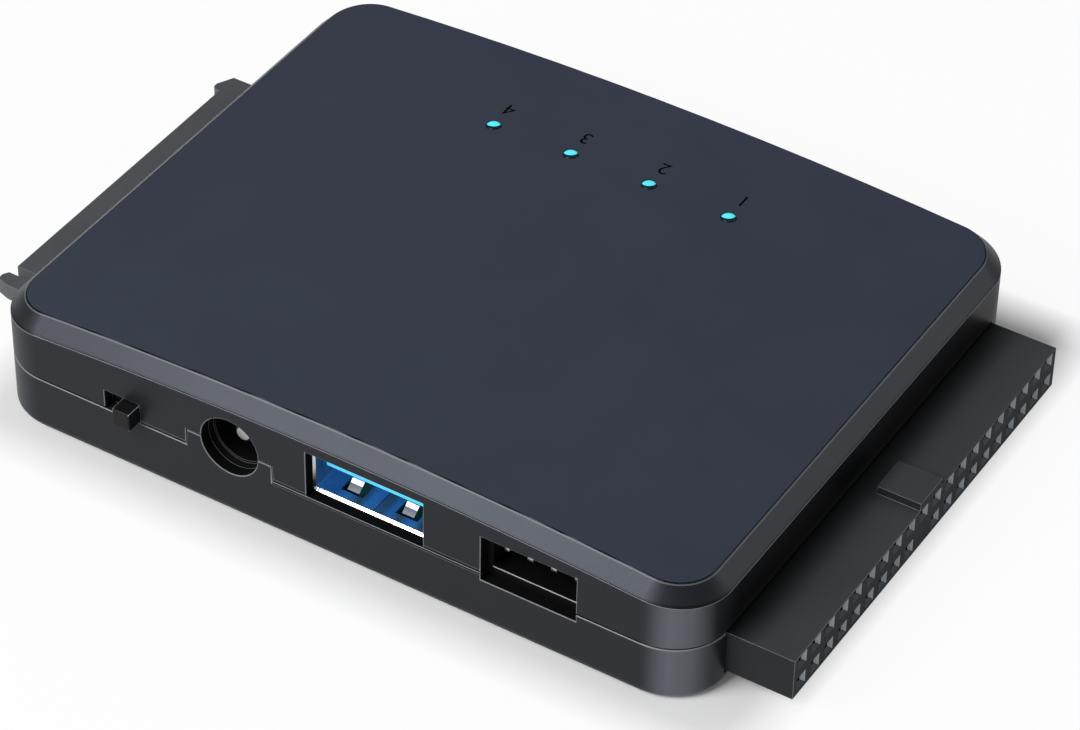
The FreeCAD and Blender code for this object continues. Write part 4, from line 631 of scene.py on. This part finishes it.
def engraving(text, spot, tilt, height, depth):
    """A solid number that reads from the back, half above and half below the surface at a spot."""
    bpy.ops.object.select_all(action="DESELECT")
    bpy.ops.object.text_add(location=(0.0, 0.0, 0.0))
    thing = bpy.context.view_layer.objects.active
    thing.data.body = text
    thing.data.align_x = "CENTER"
    thing.data.align_y = "CENTER"
    thing.data.size = height / FIGURE_HEIGHT
    thing.data.extrude = depth
    thing.data.resolution_u = 6
    bpy.ops.object.convert(target="MESH")
    thing = bpy.context.view_layer.objects.active
    bpy.ops.object.mode_set(mode="EDIT")
    bpy.ops.mesh.select_all(action="SELECT")
    bpy.ops.mesh.remove_doubles(threshold=SAME_NUMBER_POINT)
    bpy.ops.object.mode_set(mode="OBJECT")
    turn = Matrix.Rotation(tilt, 4, "Y") @ Matrix.Rotation(math.pi, 4, "Z")
    thing.matrix_world = Matrix.Translation(spot) @ turn
    bpy.ops.object.transform_apply(location=True, rotation=True, scale=True)
    # The number's faces take the covers' painted shade, so the engraving reads dark
    finish_faces(thing, COVER_SHADE, lambda normal, middle: True)
    return thing


def light_row():
    """The first light's place along X, the distance from light to light, and the row's place along Y."""
    low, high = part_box("status_lamps")
    pitch = (high.x - low.x - 2 * LAMP_HALF) / (LIGHTS - 1)
    return low.x + LAMP_HALF, pitch, (low.y + high.y) / 2


# Pieces

class ADAPTER_OT_covers(bpy.types.Operator):
    """Both halves of the case, with a number engraved behind each light"""

    bl_idname = "adapter.covers"
    bl_label = "Covers and numbers"
    bl_options = {"REGISTER", "UNDO"}

    def execute(self, context):
        colours = context.scene.adapter_colours
        sizes = context.scene.adapter_sizes
        low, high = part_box("bottom_cover")
        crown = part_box("top_cover")[1].z
        grain = sizes.grain / MM
        marks = case_marks(crown, sizes.crown_radius)
        finishes = [
            moulded("grained_side", list(colours.sides), 0.38, grain, depth=0.01, marks=marks),
            # Painted highlight for the rounding under the bevel, the lower cover's lip and the soft front
            # rim
            moulded("painted_highlight_edge", list(colours.edge), 0.3, grain, depth=0.004),
            moulded("grained_top", list(colours.top), 0.42, grain, depth=0.012),
            # Painted shade: a near-black copy of the side plastic for the hollow and window reveals, the
            # roundings beside the bevel, the lip's top and the engraved numbers
            smooth_plastic("case_painted_shade", shade(list(colours.sides), 0.15), roughness=0.9, sheen=0.1),
            # The bevel's plastic is a lighter, glossier copy of the side plastic: painted light on the bevel
            moulded(
                "grained_bevel", shade(list(colours.sides), 1.1), 0.38, grain, depth=0.01, marks=marks,
                sheen=0.4,
            ),
        ]
        first, pitch, row = light_row()

        def at_rim(spot):
            return spot.y < low.y + AT_FRONT

        def low_rounding(normal, spot):
            return LOW_ROUNDING[0] < normal.z < LOW_ROUNDING[1]

        def crown_face(normal, spot):
            return normal.z >= TOP_NORMAL

        def bevel_face(normal, spot):
            close = BEVEL_SPREAD[0] < normal.z - BEVEL_NORMAL < BEVEL_SPREAD[1]
            return close and spot.z > crown - BEVEL_DEEP

        def bevel_rounding(normal, spot):
            under = LOW_ROUNDING[1] <= normal.z < BEVEL_NORMAL + BEVEL_SPREAD[0]
            return under or BEVEL_NORMAL + BEVEL_SPREAD[1] < normal.z < TOP_NORMAL

        def lip_rounding(normal, spot):
            return LIP_ROUNDING[0] < normal.z < LIP_ROUNDING[1]

        def lip_top(normal, spot):
            return LIP_ROUNDING[1] <= normal.z < TOP_NORMAL

        def inside(normal, spot):
            return within(spot, inner_low, inner_high, HOLLOW_SKIN)

        inner_low = Vector((low.x + HOLLOW_END, low.y, low.z))
        inner_high = Vector((high.x - HOLLOW_END, high.y, crown - HOLLOW_TOP))
        top = joined_copy("top_cover", "cover_top")
        # The lower half of the rounding under the bevel takes the painted edge highlight
        finish_faces(top, COVER_EDGE, low_rounding)
        finish_faces(top, COVER_TOP, crown_face)
        # The bevel takes its lighter, glossier copy, painted light
        finish_faces(top, COVER_BEVEL, bevel_face)
        # The upper half of that rounding, the rounding between bevel and top, and the hollow's faces take
        # painted shade
        finish_faces(top, COVER_SHADE, bevel_rounding)
        finish_faces(top, COVER_SHADE, inside)
        # The soft bevels round the front rim take the painted edge highlight
        soften_chosen(top, at_rim, sizes.softness, segments=2, place=COVER_EDGE)
        for place in range(LIGHTS):
            x = first + place * pitch
            tilt = math.asin(x / sizes.crown_radius)
            drop = sizes.crown_radius * (1 - math.cos(tilt))
            spot = Vector((x, row + sizes.number_behind, crown - drop))
            number = str(LIGHTS - place)
            cutter = engraving(number, spot, tilt, sizes.number_height, sizes.number_depth)
            apply_modifier(top, "BOOLEAN", operation="DIFFERENCE", solver="EXACT", object=cutter)
            bpy.data.objects.remove(cutter)
        smooth(top, angle=20)
        settle(top, "top_cover", finishes)
        bottom = joined_copy("bottom_cover", "cover_bottom")
        # The rounding of the lower cover's lip takes the painted edge highlight
        finish_faces(bottom, COVER_EDGE, lip_rounding)
        # The lip's top and the hollow's faces take painted shade
        finish_faces(bottom, COVER_SHADE, lip_top)
        finish_faces(bottom, COVER_SHADE, inside)
        # The soft bevels round its front rim take the painted edge highlight too
        soften_chosen(bottom, at_rim, sizes.softness, segments=2, place=COVER_EDGE)
        smooth(bottom, angle=20)
        settle(bottom, "bottom_cover", finishes)
        return {"FINISHED"}


class ADAPTER_OT_screws(bpy.types.Operator):
    """The four case screws in the underside"""

    bl_idname = "adapter.screws"
    bl_label = "Case screws"
    bl_options = {"REGISTER", "UNDO"}

    def execute(self, context):
        material = plated("dark_zinc", (0.22, 0.22, 0.23, 1.0), roughness=0.3, lines=(1.0, 1.0, 6.0))
        refined("case_screws", "screws", [material], width=0.05 * MM)
        return {"FINISHED"}


class ADAPTER_OT_wide_sockets(bpy.types.Operator):
    """The 40-way and 44-way drive sockets with their contacts"""

    bl_idname = "adapter.wide_sockets"
    bl_label = "Wide drive sockets"
    bl_options = {"REGISTER", "UNDO"}

    def execute(self, context):
        colours = context.scene.adapter_colours
        sizes = context.scene.adapter_sizes
        colour = list(colours.socket)
        low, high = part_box("ide40_socket")
        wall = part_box("top_cover")[1].x
        shadow = (wall / MM, wall / MM + SOCKET_SHADE)
        # Painted light and shade: pale bevels and near mouth faces, lighter mouth floors, darker ends,
        # near-black holes
        finishes = [
            smooth_plastic("socket_black", colour, roughness=0.36, shadow=shadow),
            smooth_plastic("socket_edge_highlight", shade(colour, 7.0), roughness=0.3),
            smooth_plastic("socket_mouth_lit", shade(colour, 9.0), roughness=0.3),
            smooth_plastic("socket_end_shade", shade(colour, 0.45), roughness=0.5, sheen=0.08),
            smooth_plastic("socket_hole_shade", shade(colour, 0.05), roughness=0.9, sheen=0.05),
            smooth_plastic("socket_mouth_lit_floor", shade(colour, 1.7), roughness=0.4, sheen=0.15),
        ]
        wide = joined_copy("ide40_socket", "socket_40_way")
        soften(wide, sizes.softness)

        def end_face(normal, spot):
            return abs(normal.x) > END_NORMAL or normal.y < -END_NORMAL

        def slanted_face(normal, spot):
            return slants(normal.x) and within(spot, low, past_front, HOLE_SKIN)

        def near_face(normal, spot):
            return slants(normal.x) and normal.y < -MOUTH_NORMAL

        def floor_face(normal, spot):
            return slants(normal.x) and normal.z > MOUTH_NORMAL and abs(normal.y) < NO_PART

        def hole_face(normal, spot):
            return normal.x < NO_PART and within(spot, low, under_key, HOLE_SKIN)

        past_front = high + Vector((MM, 0, 0))
        under_key = high - Vector((0, 0, MM))
        finish_faces(wide, SOCKET_END, end_face)
        finish_faces(wide, SOCKET_HOLE, slanted_face)
        finish_faces(wide, SOCKET_MOUTH, near_face)
        finish_faces(wide, SOCKET_MOUTH_FLOOR, floor_face)
        finish_faces(wide, SOCKET_HOLE, hole_face)
        smooth(wide)
        settle(wide, "ide40_socket", finishes)
        small = joined_copy("ide44_socket", "socket_44_way")
        soften(small, sizes.softness)
        # The 44-way socket's slanted mouth faces take the painted edge highlight
        finish_faces(small, SOFT_EDGE, lambda normal, spot: slants(normal.y))
        smooth(small)
        small_finishes = [smooth_plastic("socket_44_black", colour, roughness=0.36), finishes[1]]
        settle(small, "ide44_socket", small_finishes)
        gold = plated("contact_gold", (0.72, 0.5, 0.18, 1.0), roughness=0.22, lines=(8.0, 1.0, 1.0))
        for node in ("ide40_contacts", "ide44_contacts"):
            paint(node, gold)
        return {"FINISHED"}


class ADAPTER_OT_serial_socket(bpy.types.Operator):
    """The serial drive socket with its guide arms and contacts"""

    bl_idname = "adapter.serial_socket"
    bl_label = "Serial drive socket"
    bl_options = {"REGISTER", "UNDO"}

    def execute(self, context):
        colours = context.scene.adapter_colours
        sizes = context.scene.adapter_sizes
        dark = smooth_plastic("serial_dark", list(colours.serial), roughness=0.4)
        # Painted highlight on the socket's soft edges
        rim_highlight = smooth_plastic("serial_edge_highlight", shade(list(colours.serial), 2.0), roughness=0.3)
        refined("sata_socket", "socket_serial", [dark, rim_highlight], width=sizes.softness)
        gold = bpy.data.materials["contact_gold"]
        for node in ("sata_data_contacts", "sata_power_contacts"):
            paint(node, gold)
        return {"FINISHED"}


class ADAPTER_OT_computer_port(bpy.types.Operator):
    """The computer port: its metal shell, blue moulding and contacts"""

    bl_idname = "adapter.computer_port"
    bl_label = "Computer port"
    bl_options = {"REGISTER", "UNDO"}

    def execute(self, context):
        colours = context.scene.adapter_colours
        nickel = plated("bright_nickel", (0.8, 0.8, 0.82, 1.0), roughness=0.16, lines=(1.0, 10.0, 1.0))
        blue = port_blue(list(colours.port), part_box("usb_insulator")[0].y)
        shell = joined_copy("usb_shell", "port_shell")
        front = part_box("usb_shell")[0].y
        mouth = [point.co for point in shell.data.vertices if point.co.y < front + AT_FRONT]
        low = Vector((min(spot.x for spot in mouth), front - MM, min(spot.z for spot in mouth)))
        deep = front + MOUTH_DEEP
        high = Vector((max(spot.x for spot in mouth), deep, max(spot.z for spot in mouth)))
        floor = low.z + SHELL_SHEET
        crest = spring_crest(floor)

        def in_mouth(spot):
            return within(spot, low, high, MOUTH_SKIN)

        def spring_face(normal, spot):
            seen = normal.y < SPRING_NORMAL < normal.z
            return seen and SPRING_FACES[0] < spot.z - floor < SPRING_FACES[1]

        soften_chosen(shell, in_mouth, MOUTH_CHAMFER, segments=1, place=BODY)
        finish_faces(shell, SPRING_CREST, spring_face)
        smooth(shell, angle=25)
        settle(shell, "usb_shell", [nickel, crest])
        refined("usb_insulator", "port_tongue", [blue], width=0.06 * MM)
        paint("usb_contacts", bpy.data.materials["contact_gold"])
        return {"FINISHED"}


class ADAPTER_OT_power_inlet(bpy.types.Operator):
    """The round power inlet with its pin and side spring"""

    bl_idname = "adapter.power_inlet"
    bl_label = "Power inlet"
    bl_options = {"REGISTER", "UNDO"}

    def execute(self, context):
        black = smooth_plastic("inlet_black", [0.003, 0.003, 0.0035, 1.0], roughness=0.5, sheen=0.15)
        # Painted highlight on the inlet's soft edges, pale against the black
        rim_highlight = smooth_plastic("inlet_edge_highlight", [0.2, 0.2, 0.21, 1.0], roughness=0.3)
        tin = plated("tin_plate", (0.7, 0.7, 0.69, 1.0), roughness=0.2, lines=(1.0, 8.0, 1.0))
        refined("power_inlet", "inlet_block", [black, rim_highlight], width=0.07 * MM)
        refined("inlet_centre_pin", "inlet_pin", [tin], width=0.04 * MM)
        paint("inlet_spring_contact", tin)
        return {"FINISHED"}


class ADAPTER_OT_power_outlet(bpy.types.Operator):
    """The four-pin power outlet for a drive"""

    bl_idname = "adapter.power_outlet"
    bl_label = "Power outlet"
    bl_options = {"REGISTER", "UNDO"}

    def execute(self, context):
        sizes = context.scene.adapter_sizes
        black = smooth_plastic("outlet_black", [0.002, 0.002, 0.0025, 1.0], roughness=0.6, sheen=0.12)
        # Painted highlight on the shroud's soft edges
        rim_highlight = smooth_plastic("outlet_edge_highlight", [0.3, 0.3, 0.31, 1.0], roughness=0.3)
        shroud = joined_copy("power_outlet", "outlet_shroud")

        def hidden_face(normal, spot):
            return normal.z < OUTLET_NORMAL or normal.y > -OUTLET_NORMAL

        soften(shroud, 0.07 * MM)
        # Only edges turned to the front and up keep the painted highlight; the rest take the black
        finish_faces(shroud, BODY, hidden_face)
        smooth(shroud)
        settle(shroud, "power_outlet", [black, rim_highlight])
        tin = bpy.data.materials["tin_plate"]
        refined("outlet_pins", "outlet_pin_set", [tin], width=0.08 * MM)
        return {"FINISHED"}


class ADAPTER_OT_slide_switch(bpy.types.Operator):
    """The slide switch with its knob"""

    bl_idname = "adapter.slide_switch"
    bl_label = "Slide switch"
    bl_options = {"REGISTER", "UNDO"}

    def execute(self, context):
        knob = smooth_plastic("knob_black", [0.004, 0.004, 0.0045, 1.0], roughness=0.42, sheen=0.2)
        # Painted highlight on the knob's soft edges
        rim_highlight = smooth_plastic("knob_edge_highlight", [0.3, 0.3, 0.31, 1.0], roughness=0.3)
        steel = plated("switch_steel", (0.12, 0.12, 0.125, 1.0), roughness=0.4, lines=(10.0, 1.0, 1.0))
        refined("switch_knob", "slide_knob", [knob, rim_highlight], width=0.05 * MM)
        refined("switch_frame", "switch_cover", [steel], width=0.04 * MM)
        paint("switch_base", smooth_plastic("switch_brown", [0.05, 0.025, 0.012, 1.0], roughness=0.55))
        paint("switch_terminals", bpy.data.materials["tin_plate"])
        paint("switch_wiper", bpy.data.materials["contact_gold"])
        return {"FINISHED"}


class ADAPTER_OT_lights(bpy.types.Operator):
    """The clear light pipe and the lamps under it"""

    bl_idname = "adapter.lights"
    bl_label = "Status lights"
    bl_options = {"REGISTER", "UNDO"}

    def execute(self, context):
        colours = context.scene.adapter_colours
        lens = glowing("lit_lens", list(colours.light), *light_row())
        pipe = joined_copy("light_pipe", "light_guide")
        smooth(pipe, angle=50)
        settle(pipe, "light_pipe", [lens])
        paint("status_lamps", smooth_plastic("lamp_white", [0.75, 0.74, 0.68, 1.0], roughness=0.3))
        return {"FINISHED"}


class ADAPTER_OT_board(bpy.types.Operator):
    """Finishes of the circuit board and the parts on it"""

    bl_idname = "adapter.board"
    bl_label = "Circuit board"
    bl_options = {"REGISTER", "UNDO"}

    def execute(self, context):
        epoxy = moulded("chip_epoxy", [0.012, 0.012, 0.013, 1.0], 0.5, grain=0.1, depth=0.01)
        steel = plated("crystal_steel", (0.7, 0.7, 0.71, 1.0), roughness=0.2, lines=(6.0, 1.0, 1.0))
        foil = plated("capacitor_foil", (0.76, 0.76, 0.77, 1.0), roughness=0.3, lines=(1.0, 1.0, 6.0))
        paint("circuit_board", circuit_board("board_green"))
        for node in ("bridge_chip", "port_chip", "memory_chip", "voltage_regulator"):
            paint(node, epoxy)
        paint("clock_crystal", steel)
        paint("power_coil", wound_core("coil_ferrite"))
        paint("filter_capacitors", foil)
        paint("chip_resistors", smooth_plastic("resistor_film", [0.02, 0.02, 0.022, 1.0], roughness=0.4))
        return {"FINISHED"}


def lamp(name, spot, size, power):
    """A soft square light that faces the middle of the floor."""
    bpy.ops.object.select_all(action="DESELECT")
    bpy.ops.object.light_add(type="AREA", location=spot)
    light = bpy.context.view_layer.objects.active
    light.name = name
    light.rotation_euler = (Vector((0.0, 0.0, 0.0)) - Vector(spot)).to_track_quat("-Z", "Y").to_euler()
    light.data.size = size
    light.data.energy = power


def bright_to_sight(finish, plain):
    """Mixes white into what the camera, mirrors and glass see, and leaves the light on the rest as it is.

    Round the object less white is mixed in, which paints a grey shadow there and lets its own shadow show.
    """
    path = finish.tree.nodes.new("ShaderNodeLightPath")
    camera = Value(finish, path.outputs["Is Camera Ray"])
    glossy = Value(finish, path.outputs["Is Glossy Ray"])
    clear = Value(finish, path.outputs["Is Transmission Ray"])
    across = finish.band(finish.along("X"), *SHADOW_X, SHADOW_FADE)
    painted_shadow = across * finish.band(finish.along("Y"), *SHADOW_Y, SHADOW_FADE)
    seen = camera * (WHITE_DIRECT - painted_shadow * SHADOW_KEPT) + (glossy + clear) * WHITE_MIRRORED
    glow = finish.node("ShaderNodeEmission", {}, {"Strength": 1.0})
    mixed = finish.node("ShaderNodeMixShader", {}, {0: seen, 1: plain, 2: glow})
    output = finish.tree.nodes["Material Output"]
    finish.tree.links.new(mixed.socket, output.inputs["Surface"])


class ADAPTER_OT_stage(bpy.types.Operator):
    """Floor, lights and camera of the studio"""

    bl_idname = "adapter.stage"
    bl_label = "Studio"
    bl_options = {"REGISTER", "UNDO"}

    def execute(self, context):
        bpy.ops.object.select_all(action="DESELECT")
        bpy.ops.mesh.primitive_plane_add(size=FLOOR_WIDTH, location=(0.0, 0.0, -FLOOR_DROP))
        floor = bpy.context.view_layer.objects.active
        floor.name = "studio_floor"
        bpy.ops.object.transform_apply(location=True, rotation=True, scale=True)
        paper = Finish("white_paper", {"Base Color": PAPER, "Roughness": 0.9})
        bright_to_sight(paper, Value(paper, paper.shader.outputs[0]))
        floor.data.materials.append(paper.material)
        for light in LAMPS:
            lamp(*light)
        world = bpy.data.worlds.new("soft_room")
        world.use_nodes = True
        background = world.node_tree.nodes["Background"]
        background.inputs["Color"].default_value = (1.0, 1.0, 1.0, 1.0)
        background.inputs["Strength"].default_value = ROOM_LIGHT
        context.scene.world = world
        context.scene.view_settings.view_transform = "Standard"
        bpy.ops.object.select_all(action="DESELECT")
        bpy.ops.object.camera_add()
        camera = bpy.context.view_layer.objects.active
        camera.name = "photo_camera"
        turn = math.radians(CAMERA_TURN)
        rise = math.radians(CAMERA_RISE)
        roll = math.radians(CAMERA_ROLL)
        flat = math.cos(rise)
        back = Vector((math.sin(turn) * flat, -math.cos(turn) * flat, math.sin(rise)))
        level = Vector((math.cos(turn), math.sin(turn), 0.0))
        upright = back.cross(level)
        right = math.cos(roll) * level + math.sin(roll) * upright
        up = math.cos(roll) * upright - math.sin(roll) * level
        camera.matrix_world = Matrix((
            (right.x, up.x, back.x, CAMERA_PLACE[0]),
            (right.y, up.y, back.y, CAMERA_PLACE[1]),
            (right.z, up.z, back.z, CAMERA_PLACE[2]),
            (0.0, 0.0, 0.0, 1.0),
        ))
        camera.data.sensor_width = SENSOR_WIDTH
        camera.data.lens = CAMERA_LENS
        camera.data.clip_start = 0.01
        context.scene.camera = camera
        return {"FINISHED"}


PIECES = (
    ADAPTER_OT_covers, ADAPTER_OT_screws, ADAPTER_OT_wide_sockets, ADAPTER_OT_serial_socket,
    ADAPTER_OT_computer_port, ADAPTER_OT_power_inlet, ADAPTER_OT_power_outlet, ADAPTER_OT_slide_switch,
    ADAPTER_OT_lights, ADAPTER_OT_board, ADAPTER_OT_stage,
)


class ADAPTER_PT_pieces(bpy.types.Panel):
    """The adapter's settings and pieces."""

    bl_label = "Drive adapter box"
    bl_space_type = "VIEW_3D"
    bl_region_type = "UI"
    bl_category = "Adapter"

    def draw(self, context):
        for group in (context.scene.adapter_colours, context.scene.adapter_sizes):
            for name in group.bl_rna.properties.keys():
                if name not in ("rna_type", "name"):
                    self.layout.prop(group, name)
        for piece in PIECES:
            self.layout.operator(piece.bl_idname)


CLASSES = (AdapterColours, AdapterSizes) + PIECES + (ADAPTER_PT_pieces,)


def register():
    for kind in CLASSES:
        bpy.utils.register_class(kind)
    bpy.types.Scene.adapter_colours = bpy.props.PointerProperty(type=AdapterColours)
    bpy.types.Scene.adapter_sizes = bpy.props.PointerProperty(type=AdapterSizes)


def unregister():
    del bpy.types.Scene.adapter_sizes
    del bpy.types.Scene.adapter_colours
    for kind in reversed(CLASSES):
        bpy.utils.unregister_class(kind)


def main():
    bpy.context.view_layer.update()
    register()
    bpy.ops.adapter.covers()
    bpy.ops.adapter.screws()
    bpy.ops.adapter.wide_sockets()
    bpy.ops.adapter.serial_socket()
    bpy.ops.adapter.computer_port()
    bpy.ops.adapter.power_inlet()
    bpy.ops.adapter.power_outlet()
    bpy.ops.adapter.slide_switch()
    bpy.ops.adapter.lights()
    bpy.ops.adapter.board()
    bpy.ops.adapter.stage()


if __name__ == "__main__":
    main()
